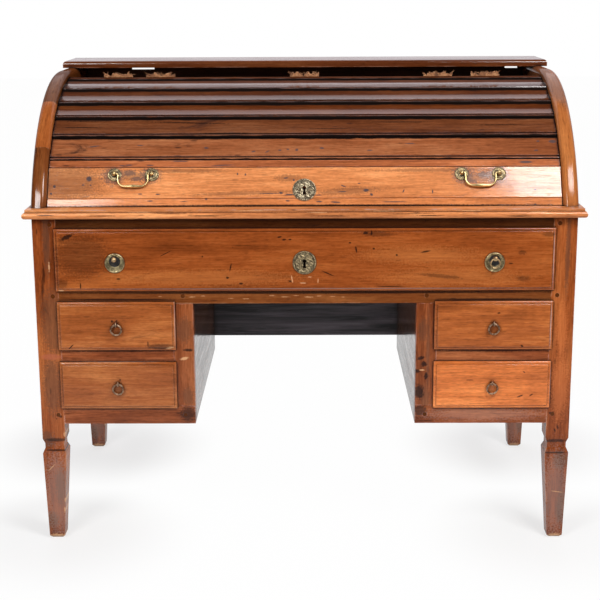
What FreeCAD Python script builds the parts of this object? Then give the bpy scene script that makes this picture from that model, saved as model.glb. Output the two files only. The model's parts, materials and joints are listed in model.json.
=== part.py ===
import FreeCAD, Part
import math
import os

# A kneehole desk with a slatted roll top. Millimetres, +Z up, front towards -Y.
# The pieces are drawn with Y = 0 on the front face of the posts and moved at the end,
# so that the origin lies on the floor under the middle of the desk.

# Case
case_width = 1200.0
case_depth = 668.0
post_side = 52.0
frame_thickness = 28.0
kneehole_width = 498.0
stile_width = 45.0
side_panel_thickness = 16.0
side_panel_inset = 8.0
kneehole_panel_thickness = 16.0
panel_tongue = 8.0
back_thickness = 12.0
back_inset = 16.0
kneehole_back_rise = 37.0

# Heights of the front, from the floor up
pedestal_clearance = 281.0
bottom_rail_height = 42.0
lower_opening_height = 100.0
divider_rail_height = 37.0
upper_opening_height = 102.0
middle_rail_height = 34.0
wide_opening_height = 131.0
top_rail_height = 28.0

# Tenons and pegs
tenon_length = 24.0
tenon_thickness = 10.0
tenon_shoulder = 5.0
stile_tenon = 20.0
peg_radius = 4.5
peg_depth = 22.0
peg_proud = 0.4
peg_setback = 13.0

# Legs
block_drop = 36.0
neck_bevel_height = 12.0
neck_height = 11.0
neck_inset = 4.5
collar_bevel_height = 12.0
collar_swell = 0.8
foot_outer_inset = 4.5
foot_inner_inset = 12.0
foot_chamfer = 6.0

# Desktop
desktop_thickness = 20.5
desktop_overhang = 18.0
desktop_round_height = 14.5
desktop_round_share = 0.45
desktop_step = 6.0

# Gables, curved rails and top board
rail_foot_setback = 12.5
roll_axis_drop = 148.5
rail_radius = 422.5
rail_depth = 50.0
rail_round = 13.0
gable_overhang = 5.0
gable_thickness = 35.0
left_rail_joint_angles = (40.6, 60.1)
top_board_thickness = 17.0
top_board_depth = 155.0
top_board_overhang = 4.0
top_board_round = 9.0
round_limit_share = 0.7
upper_back_thickness = 12.0
back_gap_depth = 13.4
back_gap_widths = (60.0, 34.0)
back_gap_centre_shares = (-0.745, 0.948)

# Roll: the slats' values from the top down, their widths as shares of the arc that they fill
slat_width_shares = (0.093, 0.221, 0.190, 0.152, 0.167, 0.177)
roll_end_setback = 21.0
slat_setback = 14.0
slat_thickness = 14.0
slat_joint = 0.5
slat_end_play = 1.0
slat_chamfer = 1.2
slat_joint_chamfer = 2.0
slat_sinks = (0.0, 3.2, 3.2, 3.2, 3.2, 3.2)
slat_hollows = (0.6, 2.0, 3.6, 2.0, 0.8, 0.8)
bead_radius = 4.0
quirk_width = 2.8
foot_strip_width = 18.7
lid_board_width = 73.8
lid_strip_width = 18.5
lid_rest_gap = 0.3
tongue_setback = 5.2
tongue_thickness = 6.5
tongue_length = 9.0
groove_play = 0.5
roll_travel_angle = 34.0
groove_spare_angle = 8.0

# Canvas straps on the back of the slats
strap_width = 70.0
strap_thickness = 1.4
strap_gap = 0.15
strap_tab = 11.0
strap_centre_shares = (-0.793, -0.612, 0.0, 0.567, 0.768)

# Drawers
lip_overlap = 5.0
lip_thickness = 6.0
lip_round = 4.0
field_inset = 7.0
field_raise = 2.5
field_round = 1.5
front_play = 1.0
block_thickness = 14.0
drawer_side_thickness = 10.0
drawer_bottom_thickness = 6.0
drawer_bottom_rise = 8.0
drawer_groove = 4.0
drawer_slide_play = 0.2
drawer_top_play = 3.0
drawer_back_drop = 6.0
dovetail_length = 9.0
dovetail_pitch = 32.0
dovetail_wide_share = 0.62
dovetail_narrow_share = 0.42
drawer_back_room = 40.0
runner_width = 49.0
runner_height = 18.0
guide_height = 16.0
guide_play = 0.6

# Locks and escutcheons
escutcheon_radius = 25.5
escutcheon_thickness = 2.2
escutcheon_rim = 4.5
escutcheon_rim_raise = 1.3
rim_crest_shares = (0.33, 0.67)
keyhole_radius = 4.2
keyhole_rise = 4.0
keyhole_drop = 11.8
keyhole_top_width = 4.4
keyhole_foot_width = 8.0
keyhole_depth = 13.0
wide_keyhole_height = 65.0
lid_keyhole_height = 19.5
lock_thickness = 12.0
lock_pocket = 6.0
lock_half_width = 42.0
wide_lock_height = 92.0
lid_lock_height = 55.0
lid_lock_drop = 7.0
bolt_half_width = 14.0
bolt_thickness = 5.0
bolt_setback = 3.5
bolt_length = 34.0
bolt_play = 0.5
wide_bolt_throw = 9.0
lid_bolt_throw = 14.0
mortise_spare = 2.0

# Bail handles on the lid
left_bail_from_gable = 189.0
right_bail_from_gable = 179.0
bail_half_span = 41.5
bail_from_lid_top = 17.8
bail_post_reach = 7.5
bail_rosette_radius = 16.0
bail_rosette_thickness = 2.6
bail_rosette_radius_shares = (1.0, 0.67, 0.5, 0.33)
bail_rosette_height_shares = (0.33, 0.67, 0.33, 1.0)
bail_stem_radius = 2.6
bail_ball_radius = 4.8
bail_arm_inset = 8.0
bail_wire_radius = 2.3
bail_grip_radius = 4.2
bail_grip_half_length = 20.0
bail_drop = 29.5
bail_corner = 16.0
bail_pin_radius = 1.7
bail_pin_play = 0.25
bail_rest_tilt = 4.0

# Rosettes and rings on the wide drawer
rosette_from_post = 129.0
rosette_radius = 22.0
rosette_thickness = 2.4
rosette_rim = 4.5
rosette_rim_raise = 1.8
rosette_post_rise = 10.0
rosette_post_reach = 12.5
rosette_stem_radius = 2.6
rosette_ball_radius = 4.8
rosette_eye_radius = 3.0
rosette_ring_radius = 10.2
rosette_ring_wire = 1.6

# Staples and rings on the small drawers
staple_rise = 6.0
staple_reach = 7.0
staple_eye_radius = 4.3
staple_wire = 1.5
ring_radius = 11.6
ring_wire = 1.9
ring_seat_gap = 0.3

cut_overrun = 5.0
edge_tolerance = 0.001

# Places that follow from the sizes
half_width = case_width / 2
post_inner = half_width - post_side
half_kneehole = kneehole_width / 2
stile_outer = half_kneehole + stile_width
panel_outer = half_width - side_panel_inset
panel_inner = panel_outer - side_panel_thickness
kneehole_panel_outer = half_kneehole + kneehole_panel_thickness
back_front = case_depth - back_inset - back_thickness
drawer_length = back_front - drawer_back_room
bottom_rail_top = pedestal_clearance + bottom_rail_height
divider_bottom = bottom_rail_top + lower_opening_height
divider_top = divider_bottom + divider_rail_height
middle_bottom = divider_top + upper_opening_height
middle_top = middle_bottom + middle_rail_height
top_rail_bottom = middle_top + wide_opening_height
case_top = top_rail_bottom + top_rail_height
block_bottom = pedestal_clearance - block_drop
neck_top = block_bottom - neck_bevel_height
neck_bottom = neck_top - neck_height
collar_top = neck_bottom - collar_bevel_height
desktop_top = case_top + desktop_thickness
roll_axis_height = desktop_top - roll_axis_drop
roll_axis_depth = rail_foot_setback + math.sqrt(rail_radius ** 2 - roll_axis_drop ** 2)
gable_outer = half_width + gable_overhang
gable_inner = gable_outer - gable_thickness
bail_centres = (left_bail_from_gable - gable_inner, gable_inner - right_bail_from_gable)
bail_height = lid_board_width - bail_from_lid_top
rosette_centre = post_inner - rosette_from_post
gable_radius = rail_radius - rail_depth
rail_top = roll_axis_height + rail_radius
face_radius = rail_radius - slat_setback
slat_inner_radius = face_radius - slat_thickness
tongue_outer_radius = face_radius - tongue_setback
tongue_inner_radius = tongue_outer_radius - tongue_thickness
slat_half_length = gable_inner - slat_end_play
groove_floor = slat_half_length + tongue_length + slat_end_play
front_face = -lip_thickness - field_raise
wide_keyhole_z = middle_top - lip_overlap + wide_keyhole_height
pull_reach = rosette_post_reach + rosette_ball_radius - front_face
origin_depth = (case_depth + collar_swell - pull_reach) / 2
both_sides = (-1, 1)


def vec(x, y, z):
    return FreeCAD.Vector(x, y, z)


def box(xs, ys, zs):
    low = vec(min(xs), min(ys), min(zs))
    return Part.makeBox(max(xs) - low.x, max(ys) - low.y, max(zs) - low.z, low)


def mirrored(shape):
    return shape.mirror(vec(0, 0, 0), vec(1, 0, 0))


def line(start, end):
    return Part.LineSegment(start, end).toShape()


def arc(start, middle, end):
    return Part.Arc(start, middle, end).toShape()


def polygon_prism(points, direction):
    return Part.Face(Part.makePolygon(points + points[:1])).extrude(direction)


def edge_prism(edges, direction):
    return Part.Face(Part.Wire(edges)).extrude(direction)


def joined(first, others):
    return first.fuse(others).removeSplitter()


def group(shapes):
    return Part.Compound(shapes)


def edges_at_front(shape):
    front = shape.BoundBox.YMin
    return [edge for edge in shape.Edges
            if all(abs(v.Y - front) < edge_tolerance for v in edge.Vertexes)]


def revolved(points, base, axis):
    """Turn an outline of (radius, distance along the axis) points about an axis through base."""
    side = vec(1, 0, 0) if abs(axis.x) < abs(axis.y) + abs(axis.z) else vec(0, 0, 1)
    placed = [base + side * radius + axis * reach for radius, reach in points]
    face = Part.Face(Part.makePolygon(placed + placed[:1]))
    return face.revolve(base, axis, 360)


def roll_point(radius, angle, x=0.0):
    """A point at a radius from the roll's axis, with the angle counted up from straight in front."""
    turn = math.radians(angle)
    return vec(x, roll_axis_depth - radius * math.cos(turn), roll_axis_height + radius * math.sin(turn))


def outward(angle):
    turn = math.radians(angle)
    return vec(0, -math.cos(turn), math.sin(turn))


def upward(angle):
    turn = math.radians(angle)
    return vec(0, math.sin(turn), math.cos(turn))


def roll_sector(radii, angles, xs):
    """Part of a ring round the roll's axis, between two radii, two angles and two places across."""
    inner, outer = radii
    low, high = angles
    middle = (low + high) / 2
    x = min(xs)
    edges = [arc(roll_point(outer, low, x), roll_point(outer, middle, x), roll_point(outer, high, x)),
             line(roll_point(outer, high, x), roll_point(inner, high, x)),
             arc(roll_point(inner, high, x), roll_point(inner, middle, x), roll_point(inner, low, x)),
             line(roll_point(inner, low, x), roll_point(outer, low, x))]
    return edge_prism(edges, vec(max(xs) - x, 0, 0))


def chord_angle(width):
    return 2 * math.degrees(math.asin(width / 2 / face_radius))


def angle_at_height(radius, height):
    return math.degrees(math.asin((height - roll_axis_height) / radius))


# Angles of the roll's joints, from the foot of the lid to the top of the first slat
lid_foot_angle = angle_at_height(face_radius, desktop_top)
lid_board_angle = lid_foot_angle + chord_angle(foot_strip_width)
lid_strip_angle = lid_board_angle + chord_angle(lid_board_width)
slats_angle = lid_strip_angle + chord_angle(lid_strip_width)
roll_end_angle = 90 - chord_angle(roll_end_setback)
lid_middle_angle = (lid_board_angle + lid_strip_angle) / 2
joint_angle = math.degrees(slat_joint / 2 / face_radius)
groove_end_angle = roll_end_angle + roll_travel_angle + groove_spare_angle


def lid_point(x, up, out):
    """A point on the lid board: across, up from its lower edge, and out from its face."""
    lower = roll_point(face_radius, lid_board_angle + joint_angle, x)
    return lower + upward(lid_middle_angle) * up + outward(lid_middle_angle) * out


def lid_box(xs, ups, outs):
    """A box squared to the lid board's face."""
    x, far_x = min(xs), max(xs)
    corners = [lid_point(x, ups[0], outs[0]), lid_point(x, ups[1], outs[0]),
               lid_point(x, ups[1], outs[1]), lid_point(x, ups[0], outs[1])]
    return polygon_prism(corners, vec(far_x - x, 0, 0))


# Locks and keyholes

def keyhole_cutter(place, up, inward, reach):
    """A keyhole, round above and flared below, cut from in front of a face to a depth behind it."""
    start = place - inward * cut_overrun
    across = vec(1, 0, 0)
    depth = inward * (cut_overrun + reach)
    eye = Part.makeCylinder(keyhole_radius, depth.Length, start + up * keyhole_rise, inward)
    top = start + up * keyhole_rise
    foot = start - up * keyhole_drop
    top_side, foot_side = across * (keyhole_top_width / 2), across * (keyhole_foot_width / 2)
    blade = polygon_prism([top - top_side, top + top_side, foot + foot_side, foot - foot_side], depth)
    return joined(eye, [blade])


wide_lock_back = block_thickness - lock_pocket + lock_thickness
wide_lock_top = top_rail_bottom - front_play
wide_keyhole = keyhole_cutter(vec(0, front_face, wide_keyhole_z), vec(0, 0, 1), vec(0, 1, 0),
                              keyhole_depth - front_face)
lid_keyhole = keyhole_cutter(lid_point(0, lid_keyhole_height, 0), upward(lid_middle_angle),
                             outward(lid_middle_angle) * -1, keyhole_depth)


def wide_lock_space():
    return box((-lock_half_width, lock_half_width), (block_thickness - lock_pocket, wide_lock_back),
               (wide_lock_top - wide_lock_height, wide_lock_top))


def wide_bolt_space(play, rise):
    front = block_thickness - lock_pocket + bolt_setback
    return box((-bolt_half_width - play, bolt_half_width + play),
               (front - play, front + bolt_thickness + play),
               (wide_lock_top - bolt_length - play, wide_lock_top + rise))


def lid_lock_outs():
    return -slat_thickness + lock_pocket, -slat_thickness + lock_pocket - lock_thickness


def lid_lock_space():
    return lid_box((-lock_half_width, lock_half_width), (-lid_lock_drop, lid_lock_height), lid_lock_outs())


def lid_bolt_space(play, drop):
    face = -slat_thickness + lock_pocket - bolt_setback
    return lid_box((-bolt_half_width - play, bolt_half_width + play),
                   (-lid_lock_drop - drop, -lid_lock_drop + bolt_length + play),
                   (face + play, face - bolt_thickness - play))


def locks():
    wide_case = wide_lock_space().cut([wide_bolt_space(bolt_play, cut_overrun), wide_keyhole])
    lid_case = lid_lock_space().cut([lid_bolt_space(bolt_play, cut_overrun), lid_keyhole])
    return {"wide_drawer_lock": wide_case, "wide_drawer_bolt": wide_bolt_space(0, 0),
            "lid_lock": lid_case, "lid_bolt": lid_bolt_space(0, 0)}


def rimmed_disc(radius, thickness, rim, rim_raise, place, out):
    crest = [(radius - rim * share, thickness + rim_raise) for share in rim_crest_shares]
    edge = [(0, 0), (radius, 0), (radius, thickness)]
    return revolved(edge + crest + [(radius - rim, thickness), (0, thickness)], place, out)


def escutcheons():
    wide = rimmed_disc(escutcheon_radius, escutcheon_thickness, escutcheon_rim, escutcheon_rim_raise,
                       vec(0, front_face, wide_keyhole_z), vec(0, -1, 0))
    lid = rimmed_disc(escutcheon_radius, escutcheon_thickness, escutcheon_rim, escutcheon_rim_raise,
                      lid_point(0, lid_keyhole_height, 0), outward(lid_middle_angle))
    return {"wide_drawer_escutcheon": wide.cut(wide_keyhole), "lid_escutcheon": lid.cut(lid_keyhole)}


# Front frame, legs and panels

def rail(xs, zs, tenons):
    """A front rail with a tenon at each end that is named by its side of the rail."""
    solid = box(xs, (0, frame_thickness), zs)
    middle = frame_thickness / 2
    ys = (middle - tenon_thickness / 2, middle + tenon_thickness / 2)
    tenon_zs = (zs[0] + tenon_shoulder, zs[1] - tenon_shoulder)
    ends = []
    if "low" in tenons:
        ends.append(box((xs[0] - tenon_length, xs[0]), ys, tenon_zs))
    if "high" in tenons:
        ends.append(box((xs[1], xs[1] + tenon_length), ys, tenon_zs))
    return joined(solid, ends)


def stile():
    middle = frame_thickness / 2
    ys = (middle - tenon_thickness / 2, middle + tenon_thickness / 2)
    body = box((half_kneehole, stile_outer), (0, frame_thickness), (bottom_rail_top, middle_bottom))
    tenon = box((half_kneehole + tenon_shoulder, stile_outer - tenon_shoulder), ys,
                (bottom_rail_top - stile_tenon, middle_bottom + stile_tenon))
    return joined(body, [tenon])


def pegs():
    bottom_z = (pedestal_clearance + bottom_rail_top) / 2
    middle_z = (middle_bottom + middle_top) / 2
    top_z = (top_rail_bottom + case_top) / 2
    stile_x = (half_kneehole + stile_outer) / 2
    places = [(post_inner + peg_setback, z) for z in (bottom_z, middle_z, top_z)]
    places += [(stile_x, z) for z in (bottom_z, middle_z)]
    length = peg_proud + peg_depth
    return [Part.makeCylinder(peg_radius, length, vec(side * x, -peg_proud, z), vec(0, 1, 0))
            for side in both_sides for x, z in places]


def leg_outline():
    """The leg's outline, as distances in from its outer face and heights."""
    left = [(0, case_top), (0, block_bottom), (neck_inset, neck_top), (neck_inset, neck_bottom),
            (-collar_swell, collar_top), (foot_outer_inset, foot_chamfer),
            (foot_outer_inset + foot_chamfer, 0)]
    right = [(post_side - foot_inner_inset - foot_chamfer, 0), (post_side - foot_inner_inset, foot_chamfer),
             (post_side + collar_swell, collar_top), (post_side - neck_inset, neck_bottom),
             (post_side - neck_inset, neck_top), (post_side, block_bottom), (post_side, case_top)]
    return left + right


def front_leg():
    """The right front leg with its post, square in section all the way down."""
    span = post_side + 2 * cut_overrun
    seen_from_front = polygon_prism([vec(half_width - d, -cut_overrun, z) for d, z in leg_outline()],
                                    vec(0, span, 0))
    seen_from_side = polygon_prism([vec(post_inner - cut_overrun, d, z) for d, z in leg_outline()],
                                   vec(span, 0, 0))
    return seen_from_front.common(seen_from_side)


def case_frame():
    """Legs, rails, stiles, panels, backs and pegs of the lower case, cut to fit one another."""
    peg_solids = pegs()
    right_stile = stile()
    stiles = [mirrored(right_stile), right_stile]
    top_rail = rail((-post_inner, post_inner), (top_rail_bottom, case_top), ("low", "high"))
    middle_rail = rail((-post_inner, post_inner), (middle_bottom, middle_top), ("low", "high"))
    divider = rail((stile_outer, post_inner), (divider_bottom, divider_top), ("low", "high"))
    dividers = [mirrored(divider), divider]
    bottom = rail((half_kneehole, post_inner), (pedestal_clearance, bottom_rail_top), ("high",))
    bottoms = [mirrored(bottom), bottom]
    panel_ys = (post_side - panel_tongue, case_depth - post_side + panel_tongue)
    side_panel = box((panel_inner, panel_outer), panel_ys, (pedestal_clearance, case_top))
    side_panels = [mirrored(side_panel), side_panel]
    kneehole_panel = box((half_kneehole, kneehole_panel_outer), (frame_thickness, back_front),
                         (pedestal_clearance, middle_top))
    backs = lower_backs()
    right_front = front_leg()
    front_legs = [mirrored(right_front), right_front]
    rear_legs = [leg.mirror(vec(0, case_depth / 2, 0), vec(0, 1, 0)) for leg in front_legs]
    front_fits = [top_rail, middle_rail] + dividers + bottoms + side_panels + peg_solids
    mortise = wide_bolt_space(bolt_play, wide_bolt_throw + mortise_spare)
    return {
        "front_legs": group([leg.cut(front_fits) for leg in front_legs]),
        "rear_legs": group([leg.cut(side_panels + backs) for leg in rear_legs]),
        "top_rail": top_rail.cut(peg_solids + [mortise]),
        "middle_rail": middle_rail.cut(peg_solids + stiles),
        "stiles": group([piece.cut(dividers + peg_solids) for piece in stiles]),
        "pedestal_rails": group([piece.cut(peg_solids) for piece in dividers]
                                + [piece.cut(peg_solids + stiles) for piece in bottoms]),
        "side_panels": group(side_panels),
        "kneehole_panels": group([mirrored(kneehole_panel), kneehole_panel]),
        "lower_backs": group(backs),
        "joint_pegs": group(peg_solids),
    }


def lower_backs():
    ys = (back_front, back_front + back_thickness)
    reach = post_inner + panel_tongue
    wide = box((-reach, reach), ys, (middle_bottom, case_top))
    kneehole = box((-kneehole_panel_outer, kneehole_panel_outer), ys,
                   (pedestal_clearance + kneehole_back_rise, middle_bottom))
    pedestal = box((kneehole_panel_outer, reach), ys, (pedestal_clearance, middle_bottom))
    return [wide, kneehole, mirrored(pedestal), pedestal]


# Drawers

def drawer_side_places(xs, zs):
    """Places of a drawer's two sides across the opening, and their height."""
    left, right = xs[0] + front_play, xs[1] - front_play
    across = [(left, left + drawer_side_thickness), (right - drawer_side_thickness, right)]
    return across, (zs[0] + drawer_slide_play, zs[1] - drawer_top_play)


def dovetails(xs, zs):
    """The tails on the front ends of a drawer's sides, one list for each side."""
    across, (low, high) = drawer_side_places(xs, zs)
    count = max(2, round((high - low) / dovetail_pitch))
    pitch = (high - low) / count
    root, tip = block_thickness, block_thickness - dovetail_length
    tails = []
    for x, far_x in across:
        side_tails = []
        for number in range(count):
            z = low + (number + 0.5) * pitch
            narrow, wide = pitch * dovetail_narrow_share / 2, pitch * dovetail_wide_share / 2
            corners = [vec(x, root, z - narrow), vec(x, root, z + narrow),
                       vec(x, tip, z + wide), vec(x, tip, z - wide)]
            side_tails.append(polygon_prism(corners, vec(far_x - x, 0, 0)))
        tails.append(side_tails)
    return tails


def drawer_front(xs, zs):
    """A lipped front with a rounded edge and a raised field, over the opening xs by zs."""
    def grown(span, by):
        return span[0] - by, span[1] + by
    lip = box(grown(xs, lip_overlap), (-lip_thickness, 0), grown(zs, lip_overlap))
    lip = lip.makeFillet(min(lip_round, lip_thickness * round_limit_share), edges_at_front(lip))
    inset = lip_overlap - field_inset
    field = box(grown(xs, inset), (front_face, 0), grown(zs, inset))
    field = field.makeFillet(field_round, edges_at_front(field))
    block = box(grown(xs, -front_play), (0, block_thickness), grown(zs, -front_play))
    return joined(lip, [field, block]).cut(sum(dovetails(xs, zs), []))


def drawer_box(xs, zs):
    """Two dovetailed sides, a back and a bottom let into the sides, behind a drawer front."""
    across, (low, high) = drawer_side_places(xs, zs)
    inner_left, inner_right = across[0][1], across[1][0]
    ys = (block_thickness, drawer_length)
    floor = low + drawer_bottom_rise
    bottom = box((inner_left - drawer_groove, inner_right + drawer_groove), ys,
                 (floor, floor + drawer_bottom_thickness))
    sides = [joined(box(place, ys, (low, high)), tails)
             for place, tails in zip(across, dovetails(xs, zs))]
    back = box((inner_left, inner_right), (drawer_length - drawer_side_thickness, drawer_length),
               (floor + drawer_bottom_thickness, high - drawer_back_drop))
    return group([side.cut(bottom) for side in sides] + [back, bottom])


wide_opening = ((-post_inner, post_inner), (middle_top, top_rail_bottom))
small_openings = {
    "left_upper": ((-post_inner, -stile_outer), (divider_top, middle_bottom)),
    "left_lower": ((-post_inner, -stile_outer), (bottom_rail_top, divider_bottom)),
    "right_upper": ((stile_outer, post_inner), (divider_top, middle_bottom)),
    "right_lower": ((stile_outer, post_inner), (bottom_rail_top, divider_bottom)),
}


def wide_drawer():
    front = drawer_front(*wide_opening)
    front = front.cut([wide_lock_space(), wide_keyhole])
    return {"wide_drawer_front": front, "wide_drawer_box": drawer_box(*wide_opening)}


def staple(x, z):
    """An eye on a short shank, with its hole across the drawer."""
    eye = Part.makeTorus(staple_eye_radius, staple_wire, vec(x, front_face - staple_reach, z), vec(1, 0, 0))
    shank = Part.makeCylinder(staple_wire, staple_reach - staple_eye_radius,
                              vec(x, front_face, z), vec(0, -1, 0))
    return joined(eye, [shank])


def hanging_ring(eye_place, eye_radius, eye_half_length, radius, wire):
    """A ring hanging in an eye, low enough to lie near the bottom of the hole."""
    bend = radius - math.sqrt(radius ** 2 - eye_half_length ** 2)
    drop = eye_radius - wire - bend - ring_seat_gap
    return Part.makeTorus(radius, wire, eye_place - vec(0, 0, drop + radius), vec(0, 1, 0))


def small_drawers():
    nodes = {}
    for name, (xs, zs) in small_openings.items():
        x = sum(xs) / 2
        z = sum(zs) / 2 + staple_rise
        nodes[name + "_front"] = drawer_front(xs, zs)
        nodes[name + "_box"] = drawer_box(xs, zs)
        nodes[name + "_staple"] = staple(x, z)
        nodes[name + "_ring"] = hanging_ring(vec(x, front_face - staple_reach, z),
                                             staple_eye_radius - staple_wire, staple_wire,
                                             ring_radius, ring_wire)
    return nodes


def outer_runner(top):
    """The runner and guide on a side panel, between the front and rear posts."""
    ys = (post_side, case_depth - post_side)
    bearer = box((panel_inner - runner_width, panel_inner), ys, (top - runner_height, top))
    guide = box((post_inner + guide_play, panel_inner), ys, (top, top + guide_height))
    return [bearer, guide]


def inner_runner(top):
    """The runner and guide on a kneehole panel, from the stile to the back."""
    ys = (frame_thickness, back_front)
    bearer = box((kneehole_panel_outer, kneehole_panel_outer + runner_width), ys,
                 (top - runner_height, top))
    guide = box((kneehole_panel_outer, stile_outer - guide_play), ys, (top, top + guide_height))
    return [bearer, guide]


def runners():
    right = []
    for top in (bottom_rail_top, divider_top, middle_top):
        right += outer_runner(top)
    for top in (bottom_rail_top, divider_top):
        right += inner_runner(top)
    return {"drawer_runners": group(right + [mirrored(piece) for piece in right])}


def rosette_post(x):
    """A ball on a stem, bored across for its ring, in front of a rosette."""
    place = vec(x, front_face - rosette_thickness, wide_keyhole_z + rosette_post_rise)
    ball_place = vec(x, front_face - rosette_post_reach, place.z)
    stem = Part.makeCylinder(rosette_stem_radius, place.y - ball_place.y, place, vec(0, -1, 0))
    ball = Part.makeSphere(rosette_ball_radius, ball_place)
    eye = Part.makeCylinder(rosette_eye_radius, 2 * rosette_ball_radius,
                            ball_place - vec(rosette_ball_radius, 0, 0), vec(1, 0, 0))
    return joined(stem, [ball]).cut(eye)


def wide_pulls():
    plates = [rimmed_disc(rosette_radius, rosette_thickness, rosette_rim, rosette_rim_raise,
                          vec(side * rosette_centre, front_face, wide_keyhole_z), vec(0, -1, 0))
              for side in both_sides]
    posts = [rosette_post(side * rosette_centre) for side in both_sides]
    eye_half_length = math.sqrt(rosette_ball_radius ** 2 - rosette_eye_radius ** 2)
    eye_place = vec(rosette_centre, front_face - rosette_post_reach, wide_keyhole_z + rosette_post_rise)
    ring = hanging_ring(eye_place, rosette_eye_radius, eye_half_length,
                        rosette_ring_radius, rosette_ring_wire)
    return {"wide_drawer_rosettes": group(plates + posts), "right_pull_ring": ring}


# Desktop and upper case

def desktop():
    """A board with a round edge at the front and sides, and a small step above it."""
    reach = half_width + desktop_overhang
    board = box((-reach, reach), (-desktop_overhang, case_depth),
                (case_top, case_top + desktop_round_height))
    back = board.BoundBox.YMax
    shown = [edge for edge in board.Edges if edge.BoundBox.ZLength < edge_tolerance
             and not all(abs(v.Y - back) < edge_tolerance for v in edge.Vertexes)]
    rounded = board.makeFillet(desktop_round_height * desktop_round_share, shown)
    inset = reach - desktop_step
    upper = box((-inset, inset), (desktop_step - desktop_overhang, case_depth), (case_top, desktop_top))
    mortise = lid_bolt_space(bolt_play, lid_bolt_throw + mortise_spare)
    return joined(rounded, [upper]).cut(mortise)


def groove():
    """The space that the slats' tongues run in, cut into the inner face of the right gable."""
    return roll_sector((tongue_inner_radius - groove_play, tongue_outer_radius + groove_play),
                       (0, groove_end_angle), (gable_inner - cut_overrun, groove_floor))


def gable():
    low = angle_at_height(gable_radius, desktop_top)
    middle = (low + 90) / 2
    x = gable_inner
    spring, crown = roll_point(gable_radius, low, x), roll_point(gable_radius, 90, x)
    back_low, back_high = vec(x, case_depth, desktop_top), vec(x, case_depth, crown.z)
    edges = [arc(spring, roll_point(gable_radius, middle, x), crown), line(crown, back_high),
             line(back_high, back_low), line(back_low, spring)]
    return edge_prism(edges, vec(gable_thickness, 0, 0)).cut(groove())


def curved_rail():
    """The right gable's front rail: an arc up from the desktop, then level to the back."""
    x = gable_inner
    low_out = angle_at_height(rail_radius, desktop_top)
    low_in = angle_at_height(gable_radius, desktop_top)
    outer_start, outer_top = roll_point(rail_radius, low_out, x), roll_point(rail_radius, 90, x)
    inner_start, inner_top = roll_point(gable_radius, low_in, x), roll_point(gable_radius, 90, x)
    back_out, back_in = vec(x, case_depth, outer_top.z), vec(x, case_depth, inner_top.z)
    edges = [arc(outer_start, roll_point(rail_radius, (low_out + 90) / 2, x), outer_top),
             line(outer_top, back_out), line(back_out, back_in), line(back_in, inner_top),
             arc(inner_top, roll_point(gable_radius, (low_in + 90) / 2, x), inner_start),
             line(inner_start, outer_start)]
    solid = edge_prism(edges, vec(gable_thickness, 0, 0))
    return solid.makeFillet(rail_round, rail_front_edges(solid)).cut(groove())


def rail_front_edges(solid):
    """The two long edges of a rail's curved front."""
    crown = roll_point(rail_radius, 90)
    return [edge for edge in solid.Edges if edge.Curve.TypeId == "Part::GeomCircle"
            and abs(edge.Curve.Radius - rail_radius) < edge_tolerance
            and edge.BoundBox.ZMax > crown.z - edge_tolerance]


def rail_lengths(solid):
    """Cut a curved rail into its three lengths along radial joints."""
    low, high = left_rail_joint_angles
    reach = rail_radius + cut_overrun
    xs = (-gable_outer - cut_overrun, -gable_inner + cut_overrun)
    lower = roll_sector((gable_radius - cut_overrun, reach), (0, low), xs)
    middle = roll_sector((gable_radius - cut_overrun, reach), (low, high), xs)
    return {"left_rail_lower": solid.common(lower), "left_rail_middle": solid.common(middle),
            "left_rail_upper": solid.cut([lower, middle])}


def top_board():
    reach = gable_outer + top_board_overhang
    board = box((-reach, reach),
                (case_depth - top_board_depth, case_depth), (rail_top, rail_top + top_board_thickness))
    back, top = board.BoundBox.YMax, board.BoundBox.ZMax
    shown = [edge for edge in board.Edges if edge.BoundBox.ZMin > top - edge_tolerance
             and not all(abs(v.Y - back) < edge_tolerance for v in edge.Vertexes)]
    return board.makeFillet(min(top_board_round, top_board_thickness * round_limit_share), shown)


def upper_back():
    ys = (case_depth - upper_back_thickness, case_depth)
    board = box((-gable_inner, gable_inner), ys, (desktop_top, rail_top))
    gaps = []
    for width, share in zip(back_gap_widths, back_gap_centre_shares):
        x = share * gable_inner
        gaps.append(box((x - width / 2, x + width / 2), (ys[0] - cut_overrun, ys[1] + cut_overrun),
                        (rail_top - back_gap_depth, rail_top + cut_overrun)))
    return board.cut(gaps)


def upper_case():
    right_gable, right_rail = gable(), curved_rail()
    nodes = {"desktop": desktop(), "left_gable": mirrored(right_gable), "right_gable": right_gable,
             "right_rail": right_rail, "top_board": top_board(), "upper_back": upper_back()}
    nodes.update(rail_lengths(mirrored(right_rail)))
    return nodes


# Roll

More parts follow.
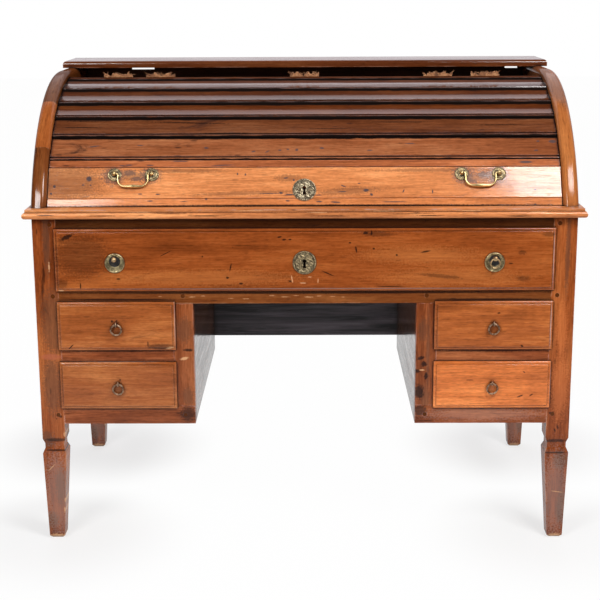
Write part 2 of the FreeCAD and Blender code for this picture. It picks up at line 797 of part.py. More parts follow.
def roll_piece(low, high, slat_face=None):
    """A piece of the roll between two angles, tongued at both ends. Its front is flat, or where
    slat_face gives the sink of its upper edge and its hollow, hollow over a bead."""
    low, high = low + joint_angle, high - joint_angle
    middle = (low + high) / 2
    along, out = upward(middle), outward(middle)
    start = vec(-slat_half_length, 0, 0)
    lower, upper = roll_point(face_radius, low) + start, roll_point(face_radius, high) + start
    inner_low = roll_point(slat_inner_radius, low) + start
    inner_high = roll_point(slat_inner_radius, high) + start
    back = arc(inner_high, roll_point(slat_inner_radius, middle) + start, inner_low)
    sunk, hollow = slat_face or (0, 0)
    top_chamfer = slat_joint_chamfer if slat_face else slat_chamfer
    top_out = upper - along * top_chamfer - out * sunk
    top_in = upper - outward(high) * (top_chamfer + sunk)
    if slat_face:
        bead_start, bead_crest = lower - outward(low) * bead_radius, lower + along * bead_radius
        quirk = bead_crest + (along - out) * bead_radius
        face_low = lower + along * (2 * bead_radius + quirk_width)
        face_middle = (face_low + top_out) / 2 - out * hollow
        front = [line(inner_low, bead_start), arc(bead_start, bead_crest, quirk), line(quirk, face_low),
                 arc(face_low, face_middle, top_out)]
    else:
        low_in, low_out = lower - outward(low) * slat_chamfer, lower + along * slat_chamfer
        front = [line(inner_low, low_in), line(low_in, low_out), line(low_out, top_out)]
    edges = front + [line(top_out, top_in), line(top_in, inner_high), back]
    body = edge_prism(edges, vec(2 * slat_half_length, 0, 0))
    reach = slat_half_length + tongue_length
    radii, ends = (tongue_inner_radius, tongue_outer_radius), (slat_half_length, reach)
    tongue = roll_sector(radii, (low, high), ends)
    return joined(body, [tongue, mirrored(tongue)])


def slat_angles():
    """Low and high angles of the slats, listed from the top slat down."""
    spans = []
    low = slats_angle
    for share in reversed(slat_width_shares):
        high = low + (roll_end_angle - slats_angle) * share
        spans.append((low, high))
        low = high
    return spans[::-1]


def slats():
    faces = zip(slat_sinks, slat_hollows)
    return {"slat_%d" % number: roll_piece(low, high, face)
            for number, ((low, high), face) in enumerate(zip(slat_angles(), faces), start=1)}


def lid():
    reach = slat_half_length + tongue_length + cut_overrun
    below = box((-reach, reach), (-desktop_overhang, roll_axis_depth),
                (desktop_top - desktop_thickness, desktop_top + lid_rest_gap))
    channel = lid_bolt_space(bolt_play, lid_bolt_throw + cut_overrun)
    board = roll_piece(lid_board_angle, lid_strip_angle)
    foot = roll_piece(lid_foot_angle, lid_board_angle)
    return {"lid_board": board.cut([lid_lock_space(), lid_keyhole] + bail_post_holes()),
            "lid_foot_strip": foot.cut([below, lid_lock_space(), channel]),
            "lid_top_strip": roll_piece(lid_strip_angle, slats_angle)}


def strap(x):
    """A canvas strap up the back of the slats, turned out over the top slat's edge."""
    low, high = lid_strip_angle + joint_angle, slat_angles()[0][1]
    outer = slat_inner_radius - strap_gap
    inner = outer - strap_thickness
    xs = (x - strap_width / 2, x + strap_width / 2)
    gap_angle = math.degrees(strap_gap / face_radius)
    tab_angle = math.degrees(strap_thickness / face_radius)
    band = roll_sector((inner, outer), (low, high + gap_angle + tab_angle), xs)
    tab = roll_sector((inner, face_radius + strap_tab),
                      (high + gap_angle, high + gap_angle + tab_angle), xs)
    return joined(band, [tab])


def straps():
    return {"canvas_straps": group([strap(share * gable_inner) for share in strap_centre_shares])}


# Bail handles

def bail_post_places():
    return [centre + end * bail_half_span for centre in bail_centres for end in both_sides]


def bail_post_holes():
    return [Part.makeCylinder(bail_stem_radius, slat_thickness + 2 * cut_overrun,
                              lid_point(x, bail_height, cut_overrun), outward(lid_middle_angle) * -1)
            for x in bail_post_places()]


def bail_rosette(x):
    steps = [(bail_rosette_radius * radius_share, bail_rosette_thickness * height_share)
             for radius_share, height_share in zip(bail_rosette_radius_shares, bail_rosette_height_shares)]
    outline = [(bail_stem_radius, 0), (bail_rosette_radius, 0)] + steps
    outline.append((bail_stem_radius, bail_rosette_thickness))
    return revolved(outline, lid_point(x, bail_height, 0), outward(lid_middle_angle))


def bail_post(x, inner_side):
    """A ball on a stem through the lid, bored on its inner side for the bail's pin."""
    out = outward(lid_middle_angle)
    ball_place = lid_point(x, bail_height, bail_post_reach)
    stem = Part.makeCylinder(bail_stem_radius, slat_thickness + bail_post_reach,
                             lid_point(x, bail_height, -slat_thickness), out)
    ball = Part.makeSphere(bail_ball_radius, ball_place)
    bore = Part.makeCylinder(bail_pin_radius + bail_pin_play, bail_ball_radius + bail_pin_play,
                             ball_place, vec(inner_side, 0, 0))
    return joined(stem, [ball]).cut(bore)


def bail(centre):
    """A drop handle: pins into the two balls, arms, rounded corners and a swelling grip."""
    place = lid_point(centre, bail_height, bail_post_reach)
    hang = math.radians(bail_rest_tilt)
    down = (upward(lid_middle_angle) * -math.cos(hang)) - outward(lid_middle_angle) * math.sin(hang)
    across = vec(1, 0, 0)
    arm = bail_half_span - bail_arm_inset
    bend = bail_corner * (1 - math.sqrt(0.5))

    def at(x, drop):
        return place + across * x + down * drop
    edges = [line(at(-arm, 0), at(-arm, bail_drop - bail_corner)),
             arc(at(-arm, bail_drop - bail_corner), at(-arm + bend, bail_drop - bend),
                 at(-arm + bail_corner, bail_drop)),
             line(at(-arm + bail_corner, bail_drop), at(arm - bail_corner, bail_drop)),
             arc(at(arm - bail_corner, bail_drop), at(arm - bend, bail_drop - bend),
                 at(arm, bail_drop - bail_corner)),
             line(at(arm, bail_drop - bail_corner), at(arm, 0))]
    ring = Part.Wire(Part.Edge(Part.Circle(at(-arm, 0), down, bail_wire_radius)))
    rod = Part.Wire(edges).makePipeShell([ring], True, False)
    eyes = [Part.makeSphere(bail_wire_radius, at(side * arm, 0)) for side in both_sides]
    pin_length = bail_half_span - arm - bail_pin_play
    pins = [Part.makeCylinder(bail_pin_radius, pin_length, at(side * arm, 0), across * side)
            for side in both_sides]
    grip = revolved([(0, -bail_grip_half_length), (bail_wire_radius, -bail_grip_half_length),
                     (bail_grip_radius, 0), (bail_wire_radius, bail_grip_half_length),
                     (0, bail_grip_half_length)], at(0, bail_drop), across)
    return joined(rod, eyes + pins + [grip])


def bails():
    rosettes = [bail_rosette(x) for x in bail_post_places()]
    posts = [bail_post(centre + end * bail_half_span, -end)
             for centre in bail_centres for end in both_sides]
    left, right = bail_centres
    return {"bail_posts": group(rosettes + posts), "left_bail": bail(left), "right_bail": bail(right)}


def all_nodes():
    nodes = {}
    for part in (case_frame, runners, upper_case, wide_drawer, small_drawers, wide_pulls,
                 slats, lid, straps, bails, locks, escutcheons):
        nodes.update(part())
    return nodes


def export(nodes):
    os.makedirs("parts", exist_ok=True)
    for name, shape in nodes.items():
        placed = shape.copy()
        placed.translate(vec(0, -origin_depth, 0))
        placed.exportStep(os.path.join("parts", name + ".step"))


export(all_nodes())
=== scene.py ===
import bpy
import bmesh
import json
import math
import random
from mathutils import Matrix, Vector


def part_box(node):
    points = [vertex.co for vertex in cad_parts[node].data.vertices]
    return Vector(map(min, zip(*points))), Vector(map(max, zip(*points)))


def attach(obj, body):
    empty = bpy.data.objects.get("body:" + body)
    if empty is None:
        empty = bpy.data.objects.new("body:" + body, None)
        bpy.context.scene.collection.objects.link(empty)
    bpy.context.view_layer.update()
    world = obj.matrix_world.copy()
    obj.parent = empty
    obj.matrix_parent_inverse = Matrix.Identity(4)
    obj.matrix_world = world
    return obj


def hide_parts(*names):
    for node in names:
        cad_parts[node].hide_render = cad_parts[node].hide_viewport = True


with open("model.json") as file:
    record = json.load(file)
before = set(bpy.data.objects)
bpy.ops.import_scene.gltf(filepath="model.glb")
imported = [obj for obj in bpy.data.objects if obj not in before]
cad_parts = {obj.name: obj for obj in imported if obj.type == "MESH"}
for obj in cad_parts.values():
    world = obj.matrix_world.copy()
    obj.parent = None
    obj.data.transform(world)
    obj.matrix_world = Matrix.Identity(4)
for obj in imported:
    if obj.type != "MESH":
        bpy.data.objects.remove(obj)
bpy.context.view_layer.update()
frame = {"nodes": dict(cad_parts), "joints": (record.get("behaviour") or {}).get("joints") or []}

MM = 0.001
across = Vector((1, 0, 0))
front = Vector((0, -1, 0))
up = Vector((0, 0, 1))
drawer_names = ("left_upper", "left_lower", "right_upper", "right_lower")

# Camera, fitted to the straight edges of the 600 by 600 photograph
PHOTO_SIDE = 600
CAMERA_PLACE = Vector((0.0122, -3.2122, 1.2594))
CAMERA_PITCH = 0.2343
CAMERA_YAW = -0.0078
CAMERA_ROLL = -0.0045
CAMERA_LENS = 80.1
CAMERA_SENSOR = 36.0


def camera_axes():
    """The camera's right, upward and forward directions."""
    level = Vector((math.cos(CAMERA_YAW), -math.sin(CAMERA_YAW), 0))
    flat_ahead = Vector((math.sin(CAMERA_YAW), math.cos(CAMERA_YAW), 0))
    ahead = flat_ahead * math.cos(CAMERA_PITCH) - up * math.sin(CAMERA_PITCH)
    above = level.cross(ahead)
    right = level * math.cos(CAMERA_ROLL) + above * math.sin(CAMERA_ROLL)
    return right, above * math.cos(CAMERA_ROLL) - level * math.sin(CAMERA_ROLL), ahead


def photo_place(px, py, place, out):
    """Where a pixel of the photograph falls on a flat face, and a pixel's width there."""
    right, above, ahead = camera_axes()
    focal = CAMERA_LENS / CAMERA_SENSOR * PHOTO_SIDE
    ray = ahead * focal + right * (px - PHOTO_SIDE / 2) - above * (py - PHOTO_SIDE / 2)
    reach = (place - CAMERA_PLACE).dot(out) / ray.dot(out)
    return CAMERA_PLACE + ray * reach, reach


# Places that come from the frame, in metres
joints = {joint["name"]: joint for joint in frame["joints"]}
roll_axis = Vector(joints["roll_turn"]["pos_m"])
lid_up = -Vector(joints["lid_bolt_throw"]["axis"])
lid_out = Vector((0, -lid_up.z, lid_up.y))


def node_points(node, start):
    """A node's points, measured from a start."""
    return [vertex.co - start for vertex in frame["nodes"][node].data.vertices]


def roll_spans(node):
    """Radii and angles of a node's points about the roll's axis."""
    spots = node_points(node, roll_axis)
    return [math.hypot(spot.y, spot.z) for spot in spots], [math.atan2(spot.z, -spot.y) for spot in spots]


def farthest(node, start, direction):
    return max(point.dot(direction) for point in node_points(node, start))


def box_middle(node):
    low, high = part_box(node)
    return (low + high) / 2


lid_face = roll_axis + lid_out * farthest("lid_board", roll_axis, lid_out)
drawer_face = Vector((0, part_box("wide_drawer_front")[0].y, 0))
frame_face = Vector((0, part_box("stiles")[0].y, 0))


def on_lid(place):
    """The nearest place on the face of the lid board."""
    return place - lid_out * (place - lid_face).dot(lid_out)


def on_drawers(place):
    return Vector((place.x, drawer_face.y, place.z))


# Shader helpers

CREASE_SAMPLES = 6


class Shader:
    """A node tree with one short call for each kind of node."""

    def __init__(self, tree):
        self.tree = tree

    def node(self, kind, inputs=None, **settings):
        made = self.tree.nodes.new("ShaderNode" + kind)
        for name, value in settings.items():
            setattr(made, name, value)
        self.paint(made, inputs or {})
        return made

    def paint(self, node, inputs):
        """Fill a node's inputs by name, with links or plain values."""
        for name, value in inputs.items():
            self.fill(node.inputs[name], value)

    def fill(self, socket, value):
        if isinstance(value, bpy.types.NodeSocket):
            self.tree.links.new(value, socket)
        else:
            socket.default_value = value

    def math(self, operation, first, second=0.0, third=0.0):
        return self.node("Math", {0: first, 1: second, 2: third}, operation=operation).outputs[0]

    def times(self, first, second):
        return self.math("MULTIPLY", first, second)

    def times_add(self, first, second, third):
        return self.math("MULTIPLY_ADD", first, second, third)

    def most(self, first, second):
        return self.math("MAXIMUM", first, second)

    def vector_math(self, operation, first, second):
        return self.node("VectorMath", {0: first, 1: second}, operation=operation).outputs[0]

    def stretch(self, vector, scale):
        return self.vector_math("MULTIPLY", vector, scale)

    def dot(self, first, second):
        return self.node("VectorMath", {0: first, 1: second}, operation="DOT_PRODUCT").outputs["Value"]

    def length(self, vector):
        return self.node("VectorMath", {0: vector}, operation="LENGTH").outputs["Value"]

    def split(self, vector):
        return self.node("SeparateXYZ", {0: vector}).outputs

    def join(self, x, y, z):
        return self.node("CombineXYZ", {0: x, 1: y, 2: z}).outputs[0]

    def noise(self, vector, scale, detail=2.0, roughness=0.5, distortion=0.0):
        made = self.node("TexNoise", {"Vector": vector, "Scale": scale, "Detail": detail,
                                      "Roughness": roughness, "Distortion": distortion})
        return made.outputs["Fac"]

    def cells(self, vector):
        """Voronoi cells: the distance to each cell's point and a random number for each cell."""
        made = self.node("TexVoronoi", {"Vector": vector, "Scale": 1.0, "Randomness": 1.0})
        return made.outputs["Distance"], self.split(made.outputs["Color"])[0]

    def spread(self, value, low, high, to_low=0.0, to_high=1.0):
        """Map a range of values to another, smoothly and with both ends clamped."""
        made = self.node("MapRange", {"Value": value, "From Min": low, "From Max": high,
                                      "To Min": to_low, "To Max": to_high},
                         interpolation_type="SMOOTHSTEP")
        return made.outputs["Result"]

    def ramp(self, factor, stops):
        made = self.node("ValToRGB", {"Fac": factor})
        elements = made.color_ramp.elements
        while len(elements) < len(stops):
            elements.new(0.5)
        for element, (place, colour) in zip(elements, stops):
            element.position = place
            element.color = (*colour, 1)
        return made.outputs["Color"]

    def mix(self, factor, first, second, blend="MIX"):
        made = self.node("Mix", data_type="RGBA", blend_type=blend)
        self.fill(made.inputs[0], factor)
        for socket, colour in ((made.inputs[6], first), (made.inputs[7], second)):
            self.fill(socket, colour if isinstance(colour, bpy.types.NodeSocket) else (*colour, 1))
        return made.outputs[2]

    def grey(self, value):
        return self.node("CombineColor", {0: value, 1: value, 2: value}).outputs[0]

    def hidden(self, distance, low, high, **settings):
        """A mask of creases, also between pieces, from the share of light that reaches them."""
        made = self.node("AmbientOcclusion", {"Distance": distance}, samples=CREASE_SAMPLES, **settings)
        return self.spread(made.outputs["AO"], low, high)

    def rubbed(self, distance, low, high):
        """A mask of a piece's own edges."""
        return self.hidden(distance, low, high, inside=True, only_local=True)

    def object_place(self):
        return self.node("TexCoord").outputs["Object"]

    def bump(self, height, strength, distance, normal=None):
        made = self.node("Bump", {"Height": height, "Strength": strength, "Distance": distance})
        if normal:
            self.fill(made.inputs["Normal"], normal)
        return made.outputs["Normal"]


def random_offset(name, most):
    draw = random.Random(name)
    return tuple(draw.uniform(-most, most) for _ in range(3))


def new_material(name):
    material = bpy.data.materials.new(name)
    material.use_nodes = True
    return material, Shader(material.node_tree), material.node_tree.nodes["Principled BSDF"]


# Walnut: one group for the figure, and a material for each board

DARK_WALNUT = (0.085, 0.017, 0.004)
MID_WALNUT = (0.33, 0.088, 0.020)
LIGHT_WALNUT = (0.60, 0.21, 0.058)
# Pale greyish wear colour, which also paints a highlight along the edges
WORN_SHEEN_WALNUT = (0.54, 0.30, 0.18)
# Near black, for dirt and stains and for painted shade in creases, joints and shadow lines
GRIME_AND_SHADE = (0.010, 0.006, 0.005)
# How far from a joint, corner or edge its painted shade and dirt, or its wear and painted sheen, reach, and
# the depth of the relief
CREASE_REACH = 9 * MM
CORNER_REACH = 40 * MM
EDGE_REACH = 4 * MM
GRAIN_DEPTH = 0.4 * MM
WAVE_DEPTH = 0.55 * MM
COAT_ROUGHNESS = 0.12
# Painted shade and dirt, and dull polish, at a slat's joints, each from its start to its full strength
JOINT_FUZZ = 8 * MM
DIRT_SHADE_ABOVE = (6.5 * MM, 3.5 * MM)
DIRT_SHADE_BELOW = (4.6 * MM, 2.4 * MM)
DULL_ABOVE = (26 * MM, 19 * MM)
DULL_SHARE = 0.92
# Metres of grain to a radian of the curved rails, and how far boards' grain is moved apart
ARC_REACH = 0.42
GRAIN_SHIFT = 9
MARK_FUZZ = 240.0
PLAIN_CREASE_REACH = 14 * MM
PLAIN_DEPTH = 0.5 * MM


def walnut_group():
    """Walnut figure, with the grain along the vector's first axis."""
    tree = bpy.data.node_groups.new("walnut_figure", "ShaderNodeTree")
    sockets = [("Vector", "INPUT", "NodeSocketVector"), ("Color", "OUTPUT", "NodeSocketColor")]
    sockets += [(name, "INPUT", "NodeSocketFloat") for name in ("Tone", "Figure", "Stain", "Wear_sheen", "Crease")]
    sockets += [(name, "OUTPUT", "NodeSocketFloat") for name in ("Roughness", "Height", "Waves")]
    for name, side, kind in sockets:
        tree.interface.new_socket(name, in_out=side, socket_type=kind)
    shader = Shader(tree)
    entry = tree.nodes.new("NodeGroupInput").outputs
    leave = tree.nodes.new("NodeGroupOutput").inputs

    def stretched(along, sideways):
        return shader.stretch(entry["Vector"], (along, sideways, sideways))

    def noise(along, sideways, *detail):
        return shader.noise(stretched(along, sideways), 1.0, *detail)

    broad = noise(2.4, 10.0, 4.0, 0.55, 0.7)
    streaks = noise(3.0, 66.0, 5.0, 0.62, 0.35)
    fibres = noise(17.0, 300.0, 3.0, 0.6)
    pores = shader.spread(noise(48.0, 620.0, 1.0), 0.60, 0.70)
    mixed = shader.times_add(broad, 0.50, shader.times(streaks, 0.26))
    mixed = shader.times_add(fibres, 0.24, mixed)
    figure = shader.times_add(shader.math("SUBTRACT", mixed, 0.5), entry["Figure"], 0.5)
    colour = shader.ramp(figure, [(0.05, DARK_WALNUT), (0.5, MID_WALNUT), (0.95, LIGHT_WALNUT)])
    mottle = shader.spread(noise(90.0, 240.0, 3.0, 0.6), 0.3, 0.7, 0.90, 1.09)
    shade = shader.times(shader.times_add(pores, -0.30, 1.0), mottle)
    shade = shader.times(shade, entry["Tone"])
    colour = shader.mix(1.0, colour, shader.grey(shade), "MULTIPLY")

    dash_distance, dash_draw = shader.cells(stretched(30.0, 130.0))
    dash = shader.times(shader.spread(dash_distance, 0.34, 0.12), shader.spread(dash_draw, 0.93, 0.96))
    hole_distance, hole_draw = shader.cells(stretched(48.0, 48.0))
    hole = shader.times(shader.spread(hole_distance, 0.11, 0.06), shader.spread(hole_draw, 0.95, 0.96))
    marks = shader.most(shader.times(dash, 0.8), hole)
    blots = shader.spread(noise(6.0, 26.0, 5.0, 0.65, 0.8), 0.61, 0.75)
    stain = shader.times(shader.most(blots, marks), entry["Stain"])
    colour = shader.mix(stain, colour, GRIME_AND_SHADE)

    # Wear on the pieces' own convex edges, in a greyish colour that also paints a highlight along them
    edge = shader.rubbed(EDGE_REACH, 0.80, 0.52)
    ragged = shader.spread(noise(24.0, 60.0, 5.0, 0.7), 0.45, 0.60)
    worn_sheen = shader.times(shader.times(edge, ragged), entry["Wear_sheen"])
    colour = shader.mix(worn_sheen, colour, WORN_SHEEN_WALNUT)
    # Painted shade with some dirt: creases, corners and joints between pieces darken by their ambient
    # occlusion
    crease_shade = shader.hidden(CREASE_REACH, 0.92, 0.58)
    corner_shade = shader.times(shader.hidden(CORNER_REACH, 0.92, 0.38), 0.5)
    shaded = shader.times(shader.most(crease_shade, corner_shade), entry["Crease"])
    colour = shader.mix(shaded, colour, GRIME_AND_SHADE)

    rough = shader.times_add(worn_sheen, 0.2, shader.spread(broad, 0.3, 0.7, 0.40, 0.56))
    height = shader.times_add(fibres, 0.35, shader.times(streaks, 0.45))
    height = shader.times_add(pores, -0.25, height)
    height = shader.times_add(marks, -0.8, height)
    waves = noise(14.0, 34.0, 2.0, 0.5)
    for name, socket in (("Color", colour), ("Roughness", rough), ("Height", height), ("Waves", waves)):
        tree.links.new(socket, leave[name])
    return tree


walnut_figure = walnut_group()
GRAIN_ORDER = {"x": (0, 1, 2), "y": (1, 2, 0), "z": (2, 0, 1)}


def roll_parts(shader):
    """Object places from the roll's axis, and their angle about it."""
    parts = shader.split(shader.vector_math("SUBTRACT", shader.object_place(), roll_axis))
    return parts, shader.math("ARCTAN2", parts[2], shader.times(parts[1], -1.0))


def grain_place(shader, along, name):
    """Object places with the grain's axis first, moved so that boards differ."""
    if along == "arc":
        parts, turn = roll_parts(shader)
        reach = shader.length(shader.join(0, parts[1], parts[2]))
        turned = shader.join(shader.times(turn, ARC_REACH), reach, parts[0])
    else:
        parts = shader.split(shader.object_place())
        turned = shader.join(*[parts[axis] for axis in GRAIN_ORDER[along]])
    return shader.vector_math("ADD", turned, random_offset(name, GRAIN_SHIFT))


def mark_mask(shader, face, ragged, marks):
    """A mask of soft marks on a flat face. Each mark is its pixel in the photograph,
    its half length and half height in pixels and, if it slopes, its tilt in degrees."""
    place, out, upward = face
    offset = shader.vector_math("SUBTRACT", shader.object_place(), place)
    flat = shader.join(shader.dot(offset, across), shader.dot(offset, upward), 0.0)
    fuzz = shader.noise(flat, MARK_FUZZ, 4.0, 0.6)
    fuzz = shader.times(shader.math("SUBTRACT", fuzz, 0.5), ragged)
    mask = None
    for px, py, half_length, half_height, *tilt in marks:
        centre, pixel = photo_place(px, py, place, out)
        centre -= place
        turned = shader.node("Mapping", {"Vector": flat, "Rotation": (0, 0, math.radians(sum(tilt))),
                                         "Location": (centre.dot(across), centre.dot(upward), 0),
                                         "Scale": (half_length * pixel, half_height * pixel, 1)},
                             vector_type="TEXTURE").outputs[0]
        spot = shader.spread(shader.math("ADD", shader.length(turned), fuzz), 1.25, 0.55)
        mask = spot if mask is None else shader.most(mask, spot)
    return mask


def slat_joint_shade_and_dirt(shader, node):
    """Masks of the painted shade and dirt at the joints above and below a slat, and of the dull polish under
    the upper one.
    """
    turn = roll_parts(shader)[1]
    radii, turns = roll_spans(node)
    reach = max(radii)
    low, high = min(turns) * reach, max(turns) * reach
    fuzz = shader.noise(shader.stretch(shader.object_place(), (26, 160, 160)), 1.0, 4.0, 0.6)
    run = shader.times_add(turn, reach, shader.times_add(fuzz, JOINT_FUZZ, -JOINT_FUZZ / 2))
    above = shader.spread(run, high - DIRT_SHADE_ABOVE[0], high - DIRT_SHADE_ABOVE[1])
    below = shader.spread(run, low + DIRT_SHADE_BELOW[0], low + DIRT_SHADE_BELOW[1])
    dull = shader.spread(run, high - DULL_ABOVE[0], high - DULL_ABOVE[1], 0.0, DULL_SHARE)
    return shader.most(above, below), dull


def walnut(name, along, tone, figure, stain, wear_sheen, gloss, tint, face, spots, slat, crease_shade):
    """A board's material; spots are groups of marks with their colour, share and raggedness."""
    material, shader, surface = new_material(name)
    node = shader.node("Group", node_tree=walnut_figure)
    shader.paint(node, {"Vector": grain_place(shader, along, name), "Tone": tone, "Figure": figure,
                        "Stain": stain, "Wear_sheen": wear_sheen, "Crease": crease_shade})
    wood = node.outputs
    colour = shader.mix(1.0, wood["Color"], tint, "MULTIPLY")
    for hue, share, ragged, marks in spots:
        colour = shader.mix(shader.times(mark_mask(shader, face, ragged, marks), share), colour, hue)
    if slat:
        dirt, dull = slat_joint_shade_and_dirt(shader, slat)
        # The dark bands at the slat's joints paint the shade under the beads, along with dirt
        colour = shader.mix(dirt, colour, GRIME_AND_SHADE)
        polish = shader.times_add(shader.most(dirt, dull), -gloss, gloss)
    else:
        polish = shader.spread(wood["Height"], 0.25, 0.55, 0.65 * gloss, gloss)
    normal = shader.bump(wood["Height"], 0.30, GRAIN_DEPTH)
    shader.paint(surface, {
        "Base Color": colour, "Roughness": wood["Roughness"], "Normal": normal,
        "Coat Weight": polish, "Coat Roughness": COAT_ROUGHNESS, "Specular IOR Level": 0.0,
        "Coat Normal": shader.bump(wood["Waves"], 1.0, WAVE_DEPTH, normal)})
    return material


def plain_wood(name, along, dark, light, rough):
    """Wood with little figure, for stained backs and drawer linings."""
    material, shader, surface = new_material(name)
    place = grain_place(shader, along, name)
    streaks = shader.noise(shader.stretch(place, (2.6, 52, 52)), 1.0, 6.0, 0.68, 0.6)
    fibres = shader.noise(shader.stretch(place, (14, 420, 420)), 1.0, 3.0, 0.6)
    colour = shader.ramp(streaks, [(0.40, dark), (0.66, light)])
    shade = shader.spread(fibres, 0.25, 0.75, 0.75, 1.2)
    colour = shader.mix(1.0, colour, shader.grey(shade), "MULTIPLY")
    # Painted shade and dirt in creases and joints, by ambient occlusion
    crease_shade = shader.times(shader.hidden(PLAIN_CREASE_REACH, 0.95, 0.45), 0.6)
    height = shader.times_add(fibres, 0.6, streaks)
    shader.paint(surface, {
        "Base Color": shader.mix(crease_shade, colour, GRIME_AND_SHADE), "Specular IOR Level": 0.3,
        "Roughness": shader.spread(streaks, 0.3, 0.7, rough, rough + 0.18),
        "Normal": shader.bump(height, 0.4, PLAIN_DEPTH)})
    return material


# Metals and canvas

BRASS_SHIFT = 4
HOLLOW_REACH = 2.5 * MM
RUB_REACH = 1.5 * MM
SKIN_DEPTH = 0.15 * MM
RUST = ((0.35, (0.045, 0.042, 0.04)), (0.6, (0.11, 0.06, 0.035)), (0.8, (0.2, 0.09, 0.04)))
PIT_DEPTH = 0.3 * MM
THREAD_PITCH = 2.6 * MM
CANVAS = ((0.3, (0.15, 0.050, 0.018)), (0.52, (0.50, 0.21, 0.085)), (0.75, (0.82, 0.43, 0.20)))
WEAVE_DEPTH = 0.4 * MM


def aged_brass(name, bright, dull, patina, patina_share, roughness):
    """Brass with a dull skin, patina in its hollows and brighter rubbed places."""
    material, shader, surface = new_material(name)
    place = shader.vector_math("ADD", shader.object_place(), random_offset(name, BRASS_SHIFT))
    mottle = shader.noise(place, 170.0, 5.0, 0.62, 0.3)
    specks = shader.noise(place, 900.0, 3.0, 0.6)
    hollow = shader.hidden(HOLLOW_REACH, 0.90, 0.50)
    rubbed = shader.rubbed(RUB_REACH, 0.78, 0.50)
    colour = shader.mix(shader.spread(mottle, 0.38, 0.62), dull, bright)
    colour = shader.mix(shader.times(rubbed, 0.7), colour, bright)
    blotch = shader.times(shader.spread(mottle, 0.56, 0.42), patina_share)
    skin = shader.times(shader.most(hollow, blotch), shader.spread(specks, 0.3, 0.55, 0.7, 1.0))
    rough = shader.spread(mottle, 0.3, 0.7, roughness, roughness + 0.16)
    height = shader.times_add(specks, 0.5, mottle)
    shader.paint(surface, {
        "Base Color": shader.mix(skin, colour, patina),
        "Metallic": shader.spread(skin, 0.2, 0.9, 1.0, 0.25),
        "Roughness": shader.times_add(skin, 0.25, rough),
        "Normal": shader.bump(height, 0.3, SKIN_DEPTH)})
    return material


def old_iron(name):
    material, shader, surface = new_material(name)
    place = shader.object_place()
    rust = shader.noise(place, 120.0, 6.0, 0.65, 0.4)
    pits = shader.noise(place, 700.0, 3.0, 0.6)
    shader.paint(surface, {
        "Base Color": shader.ramp(rust, RUST), "Metallic": shader.spread(rust, 0.45, 0.65, 0.85, 0.2),
        "Roughness": shader.spread(pits, 0.3, 0.7, 0.45, 0.75),
        "Normal": shader.bump(shader.math("ADD", rust, pits), 0.5, PIT_DEPTH)})
    return material


def canvas_cloth(name):
    """Coarse plain-woven canvas, browned and dirty."""
    material, shader, surface = new_material(name)
    turns = math.tau / THREAD_PITCH
    scaled = shader.stretch(shader.node("UVMap").outputs["UV"], (turns, turns, 0))
    parts = shader.split(scaled)
    weave = shader.times(shader.math("SINE", parts[0]), shader.math("SINE", parts[1]))
    dirt = shader.noise(shader.object_place(), 95.0, 5.0, 0.65, 0.5)
    shade = shader.grey(shader.spread(weave, -0.8, 0.8, 0.40, 1.20))
    shader.paint(surface, {
        "Base Color": shader.mix(1.0, shader.ramp(dirt, CANVAS), shade, "MULTIPLY"), "Roughness": 0.92,
        "Sheen Weight": 0.25, "Normal": shader.bump(weave, 0.7, WEAVE_DEPTH)})
    return material


# Brass finishes: bright and dull metal, patina, the patina's share and the roughness
BRASSES = (
    ("bail", (0.80, 0.60, 0.28), (0.64, 0.47, 0.21), (0.06, 0.05, 0.03), 0.05, 0.26),
    ("ball", (0.80, 0.58, 0.31), (0.44, 0.28, 0.14), (0.06, 0.04, 0.03), 0.3, 0.32),
    ("rim", (0.74, 0.60, 0.33), (0.38, 0.30, 0.15), (0.035, 0.032, 0.028), 0.4, 0.28),
    ("dark", (0.58, 0.45, 0.25), (0.22, 0.17, 0.10), (0.020, 0.021, 0.019), 0.45, 0.32),
    ("recess", (0.10, 0.09, 0.08), (0.03, 0.03, 0.034), (0.010, 0.011, 0.015), 0.8, 0.50),
    ("lid_plate", (0.54, 0.45, 0.30), (0.22, 0.17, 0.11), (0.024, 0.018, 0.012), 0.5, 0.30),
    ("drawer_plate", (0.48, 0.37, 0.21), (0.20, 0.15, 0.085), (0.028, 0.022, 0.014), 0.6, 0.34),
    ("ring", (0.52, 0.36, 0.24), (0.24, 0.13, 0.075), (0.06, 0.035, 0.02), 0.4, 0.34),
)

brass = {name: aged_brass(name + "_brass", *look) for name, *look in BRASSES}
iron = old_iron("lock_iron")
canvas = canvas_cloth("strap_canvas")
stained_back = plain_wood("stained_back", "x", (0.014, 0.012, 0.014), (0.15, 0.132, 0.155), 0.34)
lining = plain_wood("drawer_lining", "y", (0.30, 0.18, 0.09), (0.46, 0.30, 0.16), 0.5)
back_wood = plain_wood("back_wood", "x", (0.085, 0.045, 0.022), (0.17, 0.10, 0.055), 0.5)


# Mesh helpers

def new_object(name, data):
    made = bpy.data.objects.new(name, data)
    bpy.context.scene.collection.objects.link(made)
    return made


def add_object(name, mesh, material, body, slot, *replaced):
    piece = new_object(name, mesh)
    mesh.materials.clear()
    mesh.materials.append(material)
    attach(piece, body)
    if replaced:
        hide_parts(*replaced)
    return piece


def smooth_mesh(name, verts, faces, sharp_angle=40):
    mesh = bpy.data.meshes.new(name)
    mesh.from_pydata(verts, [], faces)
    tidy = bmesh.new()
    tidy.from_mesh(mesh)
    bmesh.ops.recalc_face_normals(tidy, faces=tidy.faces)
    tidy.to_mesh(mesh)
    tidy.free()
    mesh.shade_smooth()
    mesh.set_sharp_from_angle(angle=math.radians(sharp_angle))
    return mesh


